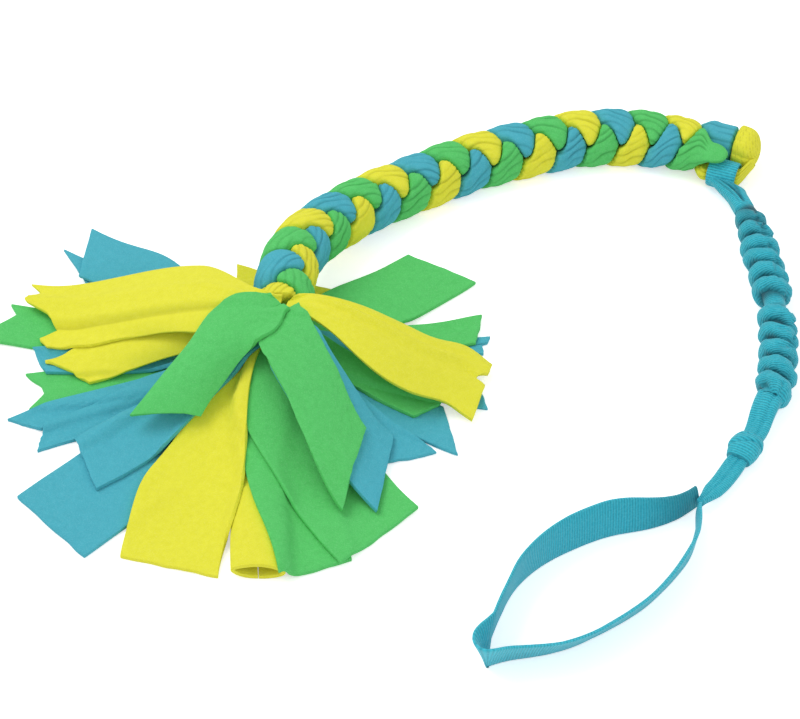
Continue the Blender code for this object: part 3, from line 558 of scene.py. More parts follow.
def pleated(room, turns, s, number, folds=12):
    """A strand's reach, drawn in along its thin lengthwise folds, and how deep each point lies,
    which paints shade along the folds.
    """
    drift = 0.5 * wander(s / (31 * MM), number * 3.1, 0.4)
    shade_mark = np.zeros(len(turns))
    for g in range(folds):
        spread = 0.10 * wander(s / (40 * MM), g * 1.7, number * 2.3)
        at = 2 * np.pi * g / folds + 0.3 * number + drift + spread
        off = (turns - at + np.pi) % (2 * np.pi) - np.pi
        share = np.clip(0.62 + 1.1 * wander(s / (17 * MM), g * 2.9, number * 5.7 + 9), 0, 1)
        share = share * smoothstep((room - 3.0 * MM) / (3 * MM))
        x = off * room / PLEAT_WIDTH
        line = share * np.exp(-np.abs(x) ** 1.6)
        room = room - PLEAT_DEPTH * line
        shade_mark = np.maximum(shade_mark, line)
    for g in range(3):
        off = (turns - 2.1 * g - 0.6 * number - 2 * drift + np.pi) % (2 * np.pi) - np.pi
        room = room - 0.5 * MM * np.exp(-(off * room / (2.6 * MM)) ** 2)
    return room, shade_mark


def turned_end(route):
    """The lobe that the yellow strand's end makes where it turns round the end of the plait."""
    turns = turn_steps(132)
    rings, along, deep = [], [], []
    for u in 0.5 - 0.5 * np.cos(np.pi * np.linspace(0.04, 0.97, 34)):
        s = route.length - END_LOBE * (1 - u)
        full = min(rounded_end(u + 0.12, 0.22), rounded_end(1 - u, 0.6))
        _, left, up = route.frame(s)
        centre = route.at(s) + left * (END_LOBE_SIDE - 2.5 * MM * u * u) + up * 0.6 * MM
        ring = oval_ring(np.zeros(3), left, up, 12.2 * MM * full, 11.2 * MM * full, turns, 2.2)
        reach = np.linalg.norm(ring, axis=1)
        # The pleats' marks paint shade along the lobe's folds.
        drawn, shade_mark = pleated(reach, turns, s, 4, 9)
        deep.append(shade_mark)
        ring = ring / reach[:, None] * drawn[:, None] + centre
        ring[:, 2] = np.maximum(ring[:, 2], ON_FLOOR)
        rings.append(ring)
        along.append(s)
    return tube("turned_end", rings, along, turns * 8 * MM, YELLOW, deep=deep)


def join(obj, tool):
    """Makes one closed surface of two that overlap."""
    union = obj.modifiers.new("join", "BOOLEAN")
    union.operation = "UNION"
    union.solver = "EXACT"
    union.object = tool
    graph = bpy.context.evaluated_depsgraph_get()
    graph.update()
    mesh = bpy.data.meshes.new_from_object(obj.evaluated_get(graph))
    obj.modifiers.clear()
    obj.data = mesh
    bpy.data.objects.remove(tool, do_unlink=True)


# The webbing

def oval_ring(centre, across, up, wide, tall, turns, power):
    c, s = np.cos(turns), np.sin(turns)
    k = (np.abs(c) ** power + np.abs(s) ** power) ** (-1.0 / power)
    return centre + np.outer(wide * k * c, across) + np.outer(tall * k * s, up)


def build_end_loop(plait, sleeve):
    s = plait.length - RING_FROM_END
    t, left, _ = plait.frame(s)
    up = np.array([0.0, 0.0, 1.0])
    centre = plait.at(s) - left * RING_SIDE
    centre[2] = RING_HEIGHT
    turns = turn_steps(16)
    rings, along = [], []
    for i in range(72):
        a = 2 * math.pi * i / 72
        out = left * math.cos(a) + up * math.sin(a)
        middle = centre + out * (RING_INNER + RING_WALL / 2)
        rings.append(oval_ring(middle, t, out, RING_BAND / 2, RING_WALL / 2, turns, 4.0))
        along.append(a * RING_INNER)
    faces, uvs = tube_parts(rings, along, turns * 4 * MM, closed=True)
    points = list(np.concatenate(rings))
    start = centre - left * (RING_INNER + RING_WALL * 0.4)
    first, goal = sleeve.at(0.0), sleeve.tangent(0.0)
    turns = turn_steps(64)
    tongue, reach, shade_marks = [], [], [np.zeros(len(points))]
    for k in range(70):
        u = k / 69
        mid = start * (1 - u) ** 3 + (start - left * 3 * MM + t * 9 * MM) * 3 * u * (1 - u) ** 2
        mid = mid + (first - goal * 11 * MM) * 3 * u * u * (1 - u) \
            + (first + goal * 1.5 * MM) * u ** 3
        turn = smoothstep(u)
        heading = -left * (1 - turn) + goal * turn
        heading = heading / np.linalg.norm(heading)
        across = np.cross(heading, up)
        across = across / np.linalg.norm(across)
        wide = (RING_BAND / 2 - 0.3 * MM) * (1 - smoothstep(u * 1.3)) \
            + 5.4 * MM * smoothstep(u * 1.3)
        wide += 0.8 * MM * math.sin(math.pi * min(1.0, u / 0.7)) ** 2
        tall = 3.4 * MM + 1.4 * MM * smoothstep(u)
        ring = oval_ring(np.zeros(3), across, np.cross(across, heading), wide, tall, turns, 2.8)
        side = (ring @ across) / wide
        drawn = np.zeros(len(turns))
        for place, drift, deep, narrow in ((0.30, -0.45, 2.3, 0.11), (-0.40, 0.30, 1.3, 0.10),
                                           (0.72, -0.35, 1.0, 0.08), (-0.05, 0.10, 0.8, 0.07)):
            shape = np.exp(-((side - place - drift * u) / narrow) ** 2)
            drawn = drawn + shape * deep * MM * math.sin(math.pi * min(1.0, u * 1.05)) ** 0.7
        top = np.clip(np.sin(turns) * 4, 0, 1)
        ring = ring - np.outer(drawn * top, np.cross(across, heading))
        tongue.append(mid + ring)
        # Painted shade in the tongue's drawn-in folds.
        shade_marks.append(drawn * top / (2.0 * MM))
        reach.append(u * 30 * MM)
    more, more_uvs = tube_parts(tongue, reach, turns * 5 * MM, base=len(points))
    points = np.concatenate([np.array(points), np.concatenate(tongue)]) - SHIFT
    obj = finish_mesh(make("webbing_end_loop", points, faces + more, TEAL_FINE, uvs + more_uvs,
                           np.concatenate(shade_marks)))
    return done(obj, "bungee", TEAL_FINE, "braid_end_loop")


def fold_places():
    """Each fold's place along the sleeve, its pitch and its share of the full radius."""
    upper = [FIRST_FOLD + i * UPPER_PITCH for i in range(UPPER_FOLDS)]
    lower = [upper[-1] + PLAIN_NECK + i * LOWER_PITCH for i in range(LOWER_FOLDS)]
    folds = [(s, UPPER_PITCH, 1 - 0.24 * math.exp(-i / 1.1)) for i, s in enumerate(upper)]
    return folds + [(s, LOWER_PITCH, 1.0) for s in lower], (upper[-1] + lower[0]) / 2


def build_sleeve(route):
    folds, neck_middle = fold_places()
    sides = 96
    turns = turn_steps(sides)
    c, sn = np.cos(turns), np.sin(turns)
    rings, along, deep, laid = [], [], [], 0.0
    for s in np.linspace(0.0, route.length, 620):
        t, left, up = route.frame(s)
        base = np.full(sides, SLEEVE_VALLEY_RADIUS)
        ends = min(s, route.length - s)
        neck = math.exp(-((s - neck_middle) / (5.0 * MM)) ** 2)
        base = base * (1 - 0.04 * neck)
        base = base * (0.9 + 0.1 * smoothstep(ends / (7 * MM)))
        radius = base.copy()
        for number, (at, pitch, share) in enumerate(folds):
            lean = math.radians(14 + 9 * wander(number * 1.9, 0.3, 0.1))
            tilt = c * math.tan(lean) * SLEEVE_FOLD_RADIUS
            wobble = np.array([wander(a * 1.4, b * 1.4, number * 2.7)
                               for a, b in zip(c, sn)]) * 1.7 * MM
            wide = pitch * (0.445 + 0.05 * wander(number * 5.3, 0.9, 4.4))
            x = (s - (at + tilt + wobble)) / wide
            bulge = np.clip(1 - x * x, 0, 1) ** 0.55
            soft = np.array([wander(a * 1.7, b * 1.7, number * 4.1 + 7) for a, b in zip(c, sn)])
            full = SLEEVE_FOLD_RADIUS * share \
                * (1 + 0.10 * soft + 0.05 * wander(number * 3.3, 1.7, 2.2))
            radius = np.maximum(radius, base + (full - base) * bulge)
        pit = np.array([wander(a * 2.6, b * 2.6, s / (3.4 * MM)) for a, b in zip(c, sn)])
        radius = radius - np.clip(pit - 0.10, 0, 1) * 4.2 * MM * np.clip(0.45 + c, 0, 1) \
            * smoothstep((radius - SLEEVE_VALLEY_RADIUS) / (2 * MM))
        radius = np.minimum(radius, SLEEVE_HEIGHT - 0.2 * MM)
        # Painted shade in the valleys between the folds, less at the plain neck and the ends.
        valley_shade = np.clip(1 - (radius - SLEEVE_VALLEY_RADIUS) / (4.2 * MM), 0, 1) ** 1.3
        deep.append(valley_shade * (1 - neck) * smoothstep(ends / (6 * MM)))
        ring = route.at(s) + np.outer(radius * c, left) + np.outer(radius * sn, up)
        if rings:
            laid += float(np.linalg.norm(ring - rings[-1], axis=1).mean())
        rings.append(ring)
        along.append(laid)
    end = route.length
    for depth in (0.4, 1.2, 2.4, 6.0):
        t, left, up = route.frame(end)
        hole = 4.3 * MM if depth > 0.5 else 4.8 * MM
        centre = route.at(end) - t * depth * MM
        rings.append(centre + np.outer(hole * np.cos(turns), left)
                     + np.outer(hole * np.sin(turns), up))
        along.append(along[-1] + 1 * MM)
        # Painted shade all over inside the open end.
        deep.append(np.ones(sides))
    obj = tube("gathered_sleeve", rings, along, turns * 8 * MM, TEAL_FINE, deep=deep)
    done(obj, None, TEAL_FINE, "bungee_sleeve")
    start, stop = route.at(8 * MM) - SHIFT, route.at(route.length - 3 * MM) - SHIFT
    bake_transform(obj)
    cord, laid = [], []
    turns = turn_steps(16)
    for s in np.linspace(0.3 * MM, route.length - 2.0 * MM, 90):
        t, left, up = route.frame(s)
        cord.append(oval_ring(route.at(s), left, up, ELASTIC_RADIUS, ELASTIC_RADIUS, turns, 2.0))
        laid.append(s)
    obj = tube("elastic_cord", cord, laid, turns * 3.5 * MM, WHITE)
    done(obj, None, WHITE, "elastic_core")
    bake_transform(obj)


def build_handle(sleeve, by):
    seat, out = sleeve.at(sleeve.length), sleeve.tangent(sleeve.length)
    lead = [tuple((seat + out * d) / MM) for d in (-1.2 * MM, 4 * MM, 9 * MM)]
    lead[2] = (*lead[2][:2], lead[2][2] - 1.2)
    strap = carried(STRAP_ROUTE, by)
    route = Route(lead + strap)
    knot_at = np.linalg.norm(route.p[:, :2] - np.array(strap[1][:2]) * MM, axis=1).argmin()
    knot = route.s[knot_at]
    sides = 64
    turns = turn_steps(sides)

    def section(s, room=0.0):
        u = s / route.length
        _, left, up = route.frame(s)
        wide = STRAP_WIDTH / 2 * (1 - 0.18 * smoothstep(u * 2.2) - 0.12 * smoothstep(u * 2.5 - 1.5))
        tall = STRAP_THICKNESS / 2 * (1.4 - 0.65 * smoothstep(u * 4) - 0.05 * smoothstep(u * 4 - 3))
        wide *= 1 - 0.22 * math.exp(-((s - knot) / (7 * MM)) ** 2)
        wide *= 1 - 0.55 * smoothstep((u - 0.84) / 0.16)
        ring = oval_ring(np.zeros(3), left, up, wide + room, tall + room, turns, 2.8)
        side = (ring @ left) / wide
        fold = np.exp(-((side - 0.45 + 0.5 * u) / 0.14) ** 2) * 1.1 * MM
        fold = fold + np.exp(-((side + 0.5 - 0.2 * u) / 0.16) ** 2) * 0.7 * MM
        ring = ring - np.outer(fold * np.clip(np.sin(turns), 0, 1) ** 0.5, up)
        return route.at(s) + ring

    steps = np.linspace(0, route.length, 260)
    obj = tube("handle_strap_webbing", [section(s) for s in steps], list(steps), turns * 4 * MM,
               TEAL_FINE)
    done(obj, "handle", TEAL_FINE, "handle_strap")
    rings, along = [], []
    for k in range(60):
        share = k / 59
        s = knot + (share - 0.5) * KNOT_LENGTH
        _, left, up = route.frame(s)
        bulge = math.sin(math.pi * (0.10 + 0.80 * share)) ** 0.8
        wide = 5.6 * MM + (KNOT_BULGE - 5.6 * MM) * bulge
        tall = 4.0 * MM + 2.1 * MM * bulge
        lie = np.cos(turns - 0.4) * 0.23 + share
        groove = np.exp(-((lie - 0.5) / 0.05) ** 2) * 1.1 * MM \
            + np.exp(-((lie - 0.16) / 0.04) ** 2) * 0.5 * MM
        grow = np.where(lie < 0.5, 0.35 * MM, -0.25 * MM)
        ring = oval_ring(np.zeros(3), left, up, 1.0, tall / wide, turns, 2.3)
        length = np.linalg.norm(ring, axis=1)
        ring = ring / length[:, None] * (length * wide - groove + grow)[:, None]
        ring = ring + route.at(s)
        ring[:, 2] = np.maximum(ring[:, 2], ON_FLOOR)
        rings.append(ring)
        along.append(s)
    obj = tube("knot_webbing", rings, along, turns * 6 * MM, TEAL_FINE)
    done(obj, "handle", TEAL_FINE, "knot_wrap")


def band_lean(u):
    """How many degrees the loop's band leans outward, by its share of the way round."""
    knots = [(0.0, 12), (0.05, 12), (0.14, 4), (0.22, 3), (0.30, -4), (0.37, -8), (0.45, -7),
             (0.475, 8), (0.51, 22), (0.56, 27), (0.62, 31), (0.68, 31), (0.76, 26), (0.83, 20),
             (0.90, 12), (0.97, 5), (1.0, 5)]
    return float(np.interp(u, [k[0] for k in knots], [k[1] for k in knots]))


def build_hand_loop(by):
    route = Route(carried(LOOP_ROUTE, by), 0.0)
    rings, along, deep = [], [], []
    turns = turn_steps(28)
    for s in np.linspace(0, route.length, 700):
        u = s / route.length
        t, left, _ = route.frame(s)
        lean = math.radians(band_lean(u))
        narrow = min(smoothstep(u / 0.16), smoothstep((1 - u) / 0.12))
        width = WEBBING_WIDTH * (0.50 + 0.50 * narrow)
        high = np.array([0, 0, 1.0]) * math.cos(lean) - left * math.sin(lean)
        thick = np.cross(t, high)
        base = route.at(s)
        base[2] = width / 2 * math.cos(lean) \
            + WEBBING_THICKNESS / 2 * abs(math.sin(lean)) - 0.3 * MM
        ring = oval_ring(base, high, thick, width / 2, WEBBING_THICKNESS / 2, turns, 5.0)
        cup = ((ring - base) @ high / (width / 2)) ** 2
        ring = ring + np.outer((cup - 0.4) * 0.5 * MM, thick)
        ring[:, 2] = np.maximum(ring[:, 2], 0.0001)
        rings.append(ring)
        along.append(s)
        # Painted shade on the band near its start, where it meets the strap.
        deep.append(np.full(len(turns), 0.55 * (1 - smoothstep(u / 0.13))))
    obj = tube("hand_loop_webbing", rings, along,
               np.sin(turns) * 2 * MM + np.cos(turns) * 12 * MM, TEAL, deep=deep)
    return done(obj, "handle", TEAL, "hand_loop")


# The mop

STEPS = 46  # along a strip
COLUMNS = 26  # across it
ROLL_CLOSED = 0.997  # how far round a rolled end closes
SETTLING = 90  # rounds of smoothing as a strip sinks onto the pile
PILE_CELL = 1.0 * MM
PILE_CELLS = 371
PILE_REACH = 0.185


class Pile:
    """The height of what lies on the floor so far, on a fine grid round the mop."""

    def __init__(self):
        self.cell = PILE_CELL
        self.x0, self.y0 = MOP_X - PILE_REACH, MOP_Y - PILE_REACH
        self.n = PILE_CELLS
        self.z = np.full((self.n, self.n), -1.0)
        axis = np.arange(self.n) * self.cell
        x, y = np.meshgrid(self.x0 + axis - MOP_X, self.y0 + axis - MOP_Y, indexing="ij")
        self.core = np.where(np.hypot(x, y) < CORE_RADIUS + FLEECE,
                             CORE_TOP + FLEECE / 2 + REST_GAP, 0.0)
        start = np.array(PLAIT_ROUTE[0]) * MM - np.array([MOP_X, MOP_Y, 0.0])
        inside = 1 - ((x - start[0]) / (PLAIT_HALF_WIDTH + FLEECE)) ** 2
        inside = np.where((y > start[1] - FLEECE) & (y < 25 * MM), inside, 0.0)
        over = start[2] + (PLAIT_HALF_THICKNESS + FLEECE) * np.sqrt(np.maximum(inside, 0.0))
        self.core = np.maximum(self.core, np.where(inside > 0, over, 0.0))

    def add(self, x, y, z):
        """Marks a sheet's heights, sampled between its points."""
        fine = np.linspace(0, 1, 5)
        for p in fine:
            for q in fine:
                w = ((1 - p) * (1 - q), p * (1 - q), (1 - p) * q, p * q)
                cut = (np.s_[:-1, :-1], np.s_[1:, :-1], np.s_[:-1, 1:], np.s_[1:, 1:])
                px, py, pz = (sum(k * f[c] for k, c in zip(w, cut)) for f in (x, y, z))
                i = np.clip(np.rint((px - self.x0) / self.cell).astype(int), 0, self.n - 1)
                j = np.clip(np.rint((py - self.y0) / self.cell).astype(int), 0, self.n - 1)
                np.maximum.at(self.z, (i.ravel(), j.ravel()), pz.ravel())

    def room(self, reach):
        """The least height at which a sheet clears all that lies within reach of it."""
        k = int(math.ceil(reach / self.cell))
        out = np.full_like(self.z, FLEECE / 2)
        for i in range(-k, k + 1):
            for j in range(-k, k + 1):
                d = math.hypot(i, j) * self.cell
                if d > reach:
                    continue
                lift = math.sqrt(reach * reach - d * d)
                moved = np.full_like(self.z, -1.0)
                src = self.z[max(0, i):self.n + min(0, i), max(0, j):self.n + min(0, j)]
                moved[max(0, -i):self.n + min(0, -i), max(0, -j):self.n + min(0, -j)] = src
                np.maximum(out, np.where(moved >= 0, moved + lift, -1.0), out=out)
        return out

    def look(self, field, x, y):
        i = np.clip(np.rint((x - self.x0) / self.cell).astype(int), 0, self.n - 1)
        j = np.clip(np.rint((y - self.y0) / self.cell).astype(int), 0, self.n - 1)
        return field[i, j]


def strip_plan(number, azimuth, reach, slant, width, root, root_radius, bow, flare, tip, swell,
               sway, rolled_up):
    """The floor plan of a strip, with the small unevenness of a hand-cut edge."""
    a0 = math.radians(azimuth)
    u = np.arange(STEPS + 1)[:, None] / STEPS
    v = 1 - 2 * np.arange(COLUMNS + 1)[None, :] / COLUMNS
    w = root + (width - root) * smoothstep(u / flare)
    cut = np.interp(v, [p[0] for p in tip], [p[1] for p in tip]) * MM if tip else 0.0 * v
    ragged = np.array([wander(j / 4.0, 4.4, number * 5.1) for j in range(COLUMNS + 1)])[None, :]
    cut = cut + ragged * 0.6 * MM
    r = root_radius \
        + (reach + v * slant / 2 + cut * smoothstep((u - 0.72) / 0.28) - root_radius) * u
    edge = np.array([[wander(i / 9.0, side * 9.0, number * 3.7) for side in (-1, 1)]
                     for i in range(STEPS + 1)]) * 0.55 * MM
    side = v * (1 - rolled_up[:, None]) + np.sin(v * np.pi * ROLL_CLOSED) * rolled_up[:, None]
    side = side * w / 2 + bow * 2.6 * np.sqrt(u) * (1 - u)
    if sway:
        line = np.polyfit(np.linspace(0, 1, len(sway)), sway, len(sway) - 1)
        side = side + MM * np.polyval(line, u)
    for end, at, long, far in swell:
        side = side + end * far * MM * np.exp(-((u - at) / long) ** 2) \
            * np.clip((end * v + 0.4) / 1.4, 0, 1) ** 2
    side = side + np.where(v > 0, edge[:, 1:] * v, edge[:, :1] * -v)
    x = MOP_X + r * math.cos(a0) - side * math.sin(a0)
    y = MOP_Y + r * math.sin(a0) + side * math.cos(a0)
    return x, y


def lay_strip(pile, number, name, mat, azimuth, reach, slant=0.0, width=50.0, drop=95.0, bow=0.0,
              fold=0.0, root_height=20.0, root_radius=CORE_RADIUS / MM + 0.7, root=21.0, flare=0.25,
              ridges=(), steps=(), tip=(), swell=(), sway=(), roll=0.0, tuck=0.0, cut_width=None):
    """Drapes a strip. cut_width is its flat width where the width at its end isn't that; it is not
    used.
    """
    rolled_up = np.zeros(STEPS + 1)
    if roll:
        rolled_up = smoothstep((np.arange(STEPS + 1) / STEPS - 0.35) / 0.5)
    x, y = strip_plan(number, azimuth, reach * MM, slant * MM, width * MM, root * MM,
                      root_radius * MM, bow * MM, flare, tip, swell, sway, rolled_up)
    room = pile.room(FLEECE + 0.25 * MM)
    strips_below = pile.look(room, x, y)
    if root_radius * MM < CORE_RADIUS:
        room = np.maximum(room, pile.core)
    u = np.arange(STEPS + 1) / STEPS
    out = root_radius + (reach - root_radius) * u
    fall = 0.5 + 0.5 * np.cos(np.pi * np.minimum(1.0, out / drop))
    wish = FLEECE / 2 + (root_height * MM - FLEECE / 2) * fall
    v = 1 - 2 * np.arange(COLUMNS + 1) / COLUMNS
    crease = fold * MM * (1 - v ** 2)
    wish = wish[:, None] + crease[None, :] * (0.35 + 0.65 * np.sin(np.pi * u))[:, None]
    soft = np.array([[wander(i / 13.0, j / 9.0, number * 7.7) for j in range(COLUMNS + 1)]
                     for i in range(STEPS + 1)])
    wish = wish + np.maximum(0.0, soft) * 1.6 * MM
    floor = pile.look(room, x, y)
    z = np.maximum(wish, floor)
    for _ in range(SETTLING):
        mean = z.copy()
        mean[1:-1] = (z[:-2] + 2 * z[1:-1] + z[2:]) / 4
        mean[:, 1:-1] = (mean[:, :-2] + 2 * mean[:, 1:-1] + mean[:, 2:]) / 4
        z = np.maximum(0.93 * mean + 0.07 * wish, floor)
    for at_root, at_tip, high, narrow in ridges:
        line = at_root + (at_tip - at_root) * u
        z = z + high * MM * np.exp(-((v[None, :] - line[:, None]) / narrow) ** 2) \
            * smoothstep(u * 3)[:, None]
    # A painted shadow line along the foot of each step.
    deep = np.zeros_like(z)
    for at_root, at_tip, high, narrow in steps:
        line = at_root + (at_tip - at_root) * u
        foot = (v[None, :] - line[:, None] - 0.45 * narrow) / 0.06
        deep = deep + 0.75 * np.exp(-foot ** 2) * smoothstep(u * 3)[:, None]
        z = z + high * MM * smoothstep(0.5 - (v[None, :] - line[:, None]) / narrow) \
            * smoothstep(u * 3)[:, None]
    if tuck:
        z = z - tuck * MM * ((1 - smoothstep((out - root_radius) / 14.0)) ** 1.5)[:, None]
        z = np.maximum(z, strips_below)
    if roll:
        round_up = floor[:, [COLUMNS // 2]] \
            + roll * MM * (1 + np.cos(v * np.pi * ROLL_CLOSED))[None, :] / 2
        z = z * (1 - rolled_up[:, None]) + round_up * rolled_up[:, None]
    pile.add(x, y, z)
    points = np.stack([x.ravel(), y.ravel(), z.ravel()], 1) - SHIFT
    wide = COLUMNS + 1
    faces = [(i * wide + j, i * wide + j + 1, (i + 1) * wide + j + 1, (i + 1) * wide + j)
             for i in range(STEPS) for j in range(COLUMNS)]
    obj = make(name + "_fleece", points, faces, mat, deep=deep.ravel())
    thick = obj.modifiers.new("thickness", "SOLIDIFY")
    thick.thickness = FLEECE
    thick.offset = 0.0
    soft_edge = obj.modifiers.new("soft_edge", "BEVEL")
    soft_edge.width = 0.6 * MM
    soft_edge.segments = 2
    soft_edge.limit_method = "ANGLE"
    soft_edge.angle_limit = math.radians(50)
    done(obj, "mop_and_braid", mat, name)
    # The flat widths given as cut_width are sizes read in the photograph, not measured on the mesh.
    return obj


def build_mop():
    lo, hi = (np.array(c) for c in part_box("mop_core"))
    middle = (lo + hi) / 2 + SHIFT
    turns = turn_steps(64)
    rings, along = [], []
    for z, r in ((0.0, 0.55), (0.05, 0.8), (0.12, 0.95), (0.3, 1.0), (0.45, 0.98), (0.5, 0.9),
                 (0.55, 0.98), (0.75, 1.0), (0.95, 0.93), (1.07, 0.75), (1.14, 0.5), (1.17, 0.2)):
        grow = CORE_RADIUS * r * (1 - 0.07 * np.cos(turns * 9) ** 8)
        at = np.array([middle[0], middle[1], lo[2] + (hi[2] - lo[2]) * z])
        rings.append(at + np.outer(grow * np.cos(turns), [1, 0, 0])
                     + np.outer(grow * np.sin(turns), [0, 1, 0]))
        along.append(z * 26 * MM)
    obj = tube("mop_core_bundle", rings, along, turns * 9 * MM, GREEN)
    done(obj, "mop_and_braid", GREEN, "mop_core")
    pile = Pile()
    count = [0]

    def low(name, mat, azimuth, reach, **kw):
        lay_strip(pile, count[0], name, mat, azimuth, reach,
                  root_height=3.0 + 1.25 * count[0], **kw)
        count[0] += 1

    def top_strip(name, mat, azimuth, reach, root=18.0, root_radius=3.0, **kw):
        lay_strip(pile, count[0] + 20, name, mat, azimuth, reach, root_height=TOP_ROOT_HEIGHT,
                  root_radius=root_radius, root=root, **kw)
        count[0] += 1

    low("strip_yellow_back", YELLOW, 90, 63, slant=22, width=56, drop=60)
    low("strip_blue_front_square", BLUE, -135, 162, slant=3, width=54, drop=80)
    low("strip_green_left_back", GREEN, 169, 152, width=29, drop=85,
        tip=((-1, 0), (-0.5, -5), (0.1, 2), (1, 0)))
    low("strip_blue_right_low", BLUE, 7, 105, slant=5, width=12, drop=80, root=12.0,
        tip=((-1, 0), (-0.1, -2), (0.1, -6), (0.3, 0), (1, 0)))
    low("strip_blue_back_left_low", BLUE, 148, 134, slant=-29, width=17, drop=90, fold=2)
    low("strip_green_right_tip", GREEN, 13, 103, slant=9, width=22, drop=90)
    low("strip_green_back_right", GREEN, 41, 108, slant=-13, width=40, drop=90,
        swell=((1, 0.45, 0.3, 4),))
    low("strip_blue_back_left", BLUE, 143, 137, slant=-21, width=34, drop=110, fold=4,
        swell=((-1, 0.66, 0.16, 6),))
    low("strip_green_left_front", GREEN, -171, 135, width=26, drop=90,
        tip=((-1, 0), (-0.2, -8), (0.2, -9), (1, 0)))
    low("strip_blue_left_tip", BLUE, -156, 139, slant=-13, width=14, drop=90, root=16.0,
        sway=(0, -6, -10, -13, -13))
    low("strip_blue_right_front", BLUE, -30, 98, slant=-23, width=26, drop=85)
    low("strip_blue_left_low", BLUE, -156, 135, slant=9, width=13, drop=95, root=14.0,
        swell=((-1, 0.5, 0.3, 6), (1, 0.5, 0.3, 4)), cut_width=23)
    low("strip_blue_right_tip", BLUE, -11, 102, slant=-13, width=26, drop=85)
    low("strip_green_right_low", GREEN, -26, 82, slant=9, width=17, drop=85)
    low("strip_blue_left_sliver", BLUE, 180, 128, slant=-8, width=19, drop=95)
    low("strip_blue_front_right_low", BLUE, -46, 94, slant=12, width=23, drop=95,
        sway=(0, -5, -6, -3, 0))
    low("strip_yellow_curled", YELLOW, -94, 148, width=25, drop=105, fold=3, bow=-6, roll=8.5,
        cut_width=50)
    low("strip_green_front_low", GREEN, -83, 145, slant=-10, width=37, drop=105,
        sway=(-6, -9, -10, -5, 0))
    low("strip_green_front_right", GREEN, -68, 131, slant=-21, width=50, drop=110,
        sway=(-10, -15, -12, -7, 0))
    low("strip_yellow_front", YELLOW, -111, 151, slant=-5, width=50, drop=110, root=16.0, flare=0.8,
        sway=(-12, -13, -9, -6, 0), swell=((-1, 0.62, 0.18, 4),))
    low("strip_blue_left_folded", BLUE, -143, 124, slant=11, width=36, drop=110, fold=3, root=14.0,
        flare=0.9, ridges=((-0.5, -0.72, 3.0, 0.2),))
    low("strip_yellow_left_front", YELLOW, -158, 108, slant=-17, width=22, drop=115, fold=3,
        root=26.0, sway=(0, -14, -25, -31, -33), swell=((-1, 0.7, 0.2, 6),))
    top_strip("strip_blue_front_right", BLUE, -58, 97, slant=-39, width=34, drop=120, bow=-9,
              root=14.0, tuck=6.0)
    top_strip("strip_yellow_left", YELLOW, 167, 134, slant=-22, width=44, drop=140, fold=4, bow=3,
              root=14.0, flare=0.34, steps=((0.1, 0.15, 3.5, 0.16),),
              ridges=((-0.35, -0.45, 1.6, 0.12),),
              tip=((-1, 0), (-0.75, -5), (-0.35, 7), (-0.1, -5), (0.3, -9), (0.7, 3), (1, 0)),
              swell=((-1, 0.5, 0.3, 9), (1, 0.55, 0.3, -11)), tuck=3.0)
    top_strip("strip_yellow_right", YELLOW, -14, 104, slant=1, width=40, drop=125, fold=3,
              root=13.0, root_radius=0.5, flare=0.6, sway=(1, 4, 0, 0, 0), tuck=3.0,
              ridges=((0.35, 0.5, 2.8, 0.13), (0.75, 0.8, 1.8, 0.12), (-0.25, -0.1, 1.2, 0.2)),
              tip=((-1, 0), (0.25, 0), (0.4, -6), (0.6, 0), (1, 0)),
              swell=((1, 0.85, 0.12, 5), (-1, 0.85, 0.1, -4)))
    top_strip("strip_green_top_right", GREEN, -67, 92, slant=-42, width=30, drop=125, fold=3,
              root=20.0, flare=0.15, sway=(-3, -6, -4, -3, 0), tuck=3.0)
    top_strip("strip_green_top_left", GREEN, -138, 80, slant=-26, width=24, drop=140, fold=6,
              root=14.0, root_radius=1.0, flare=0.16, sway=(-2, -6, -5, -3, 0), tuck=3.5,
              swell=((-1, 0.3, 0.2, 5), (1, 0.28, 0.16, 6)))


# The studio

FLOOR_HALF = 6.0
FLOOR_BELOW = 0.0002
FLOOR_GLOW = 0.5  # whitens the floor for the camera alone
WORLD_LIGHT = 0.62
LAMPS = (("key", (-1.3, 0.6, 2.4), 27.0, 1.6), ("fill", (1.6, -1.6, 2.0), 11.0, 2.2))
SENSOR_WIDTH = 36.0


def seen_ray(tree):
    """1 where the camera, a reflection or something clear looks at the backdrop."""
    path = tree.nodes.new("ShaderNodeLightPath")
    return math_node(tree, "MAXIMUM", path.outputs["Is Camera Ray"],
                     math_node(tree, "MAXIMUM", path.outputs["Is Glossy Ray"],
                               path.outputs["Is Transmission Ray"]))


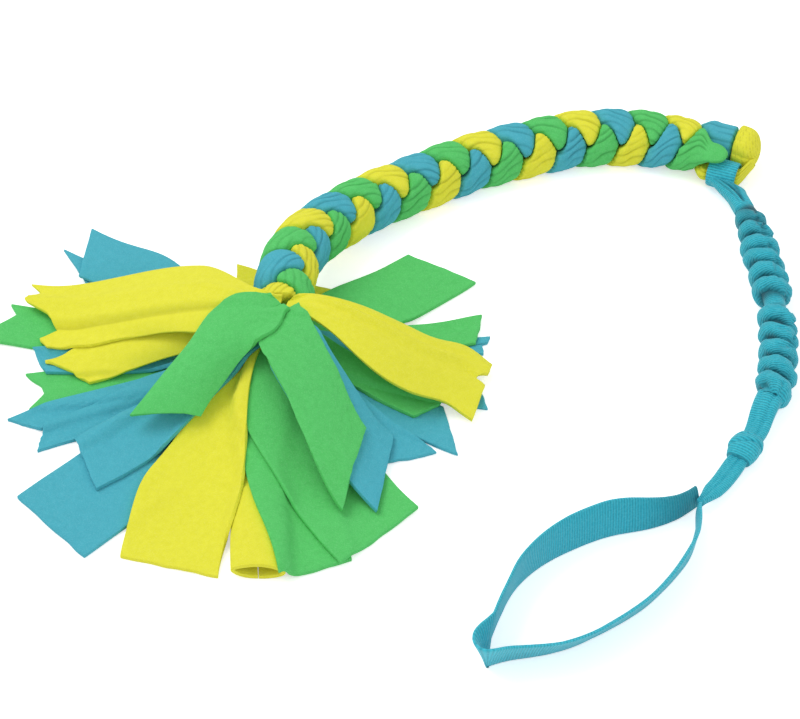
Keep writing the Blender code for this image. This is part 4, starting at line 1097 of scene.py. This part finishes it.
def stand():
    floor_mesh = bpy.data.meshes.new("floor")
    corners = [(a * FLOOR_HALF, b * FLOOR_HALF, -FLOOR_BELOW)
               for a, b in ((-1, -1), (1, -1), (1, 1), (-1, 1))]
    floor_mesh.from_pydata(corners, [], [(0, 1, 2, 3)])
    floor = bpy.data.objects.new("floor", floor_mesh)
    bpy.context.scene.collection.objects.link(floor)
    mat, tree, shader = nodes_of("floor_white")
    grain = add(tree, "ShaderNodeTexNoise", Scale=3.0, Detail=2.0)
    tree.links.new(tree.nodes.new("ShaderNodeTexCoord").outputs["Object"], grain.inputs["Vector"])
    tree.links.new(mix_colour(tree, grain.outputs["Fac"], (0.97, 0.97, 0.97), (1.0, 1.0, 1.0)),
                   shader.inputs["Base Color"])
    set_inputs(shader, {"Roughness": 0.9, "Specular IOR Level": 0.1,
                        "Emission Color": (1, 1, 1, 1)})
    tree.links.new(math_node(tree, "MULTIPLY", seen_ray(tree), FLOOR_GLOW),
                   shader.inputs["Emission Strength"])
    floor_mesh.materials.append(mat)

    world = bpy.data.worlds.new("studio")
    bpy.context.scene.world = world
    world.use_nodes = True
    tree = world.node_tree
    back = tree.nodes["Background"]
    back.inputs["Color"].default_value = (1, 1, 1, 1)
    level = math_node(tree, "MULTIPLY_ADD", seen_ray(tree), 1.0 - WORLD_LIGHT, WORLD_LIGHT)
    tree.links.new(level, back.inputs["Strength"])

    for name, place, power, size in LAMPS:
        data = bpy.data.lights.new(name, "AREA")
        data.shape = "SQUARE"
        data.size = size
        data.energy = power
        lamp = bpy.data.objects.new(name, data)
        bpy.context.scene.collection.objects.link(lamp)
        lamp.location = place
        lamp.rotation_euler = (-Vector(place)).to_track_quat("-Z", "Y").to_euler()

    target = Vector(tuple(-SHIFT))
    e = math.radians(CAMERA_ELEVATION)
    data = bpy.data.cameras.new("camera")
    data.sensor_width = SENSOR_WIDTH
    data.lens = SENSOR_WIDTH * CAMERA_DISTANCE / (IMAGE_WIDTH * METRES_A_PIXEL)
    camera = bpy.data.objects.new("camera", data)
    bpy.context.scene.collection.objects.link(camera)
    camera.location = target + Vector((0, -math.cos(e), math.sin(e))) * CAMERA_DISTANCE
    camera.rotation_euler = (math.radians(90) - e, 0, 0)
    bpy.context.scene.camera = camera
    bpy.context.scene.view_settings.view_transform = "Standard"


stand()
plait_route = build_plait()
sleeve_route, carried_by = lay_sleeve_route()
build_end_loop(plait_route, sleeve_route)
build_sleeve(sleeve_route)
build_handle(sleeve_route, carried_by)
build_hand_loop(carried_by)
build_mop()
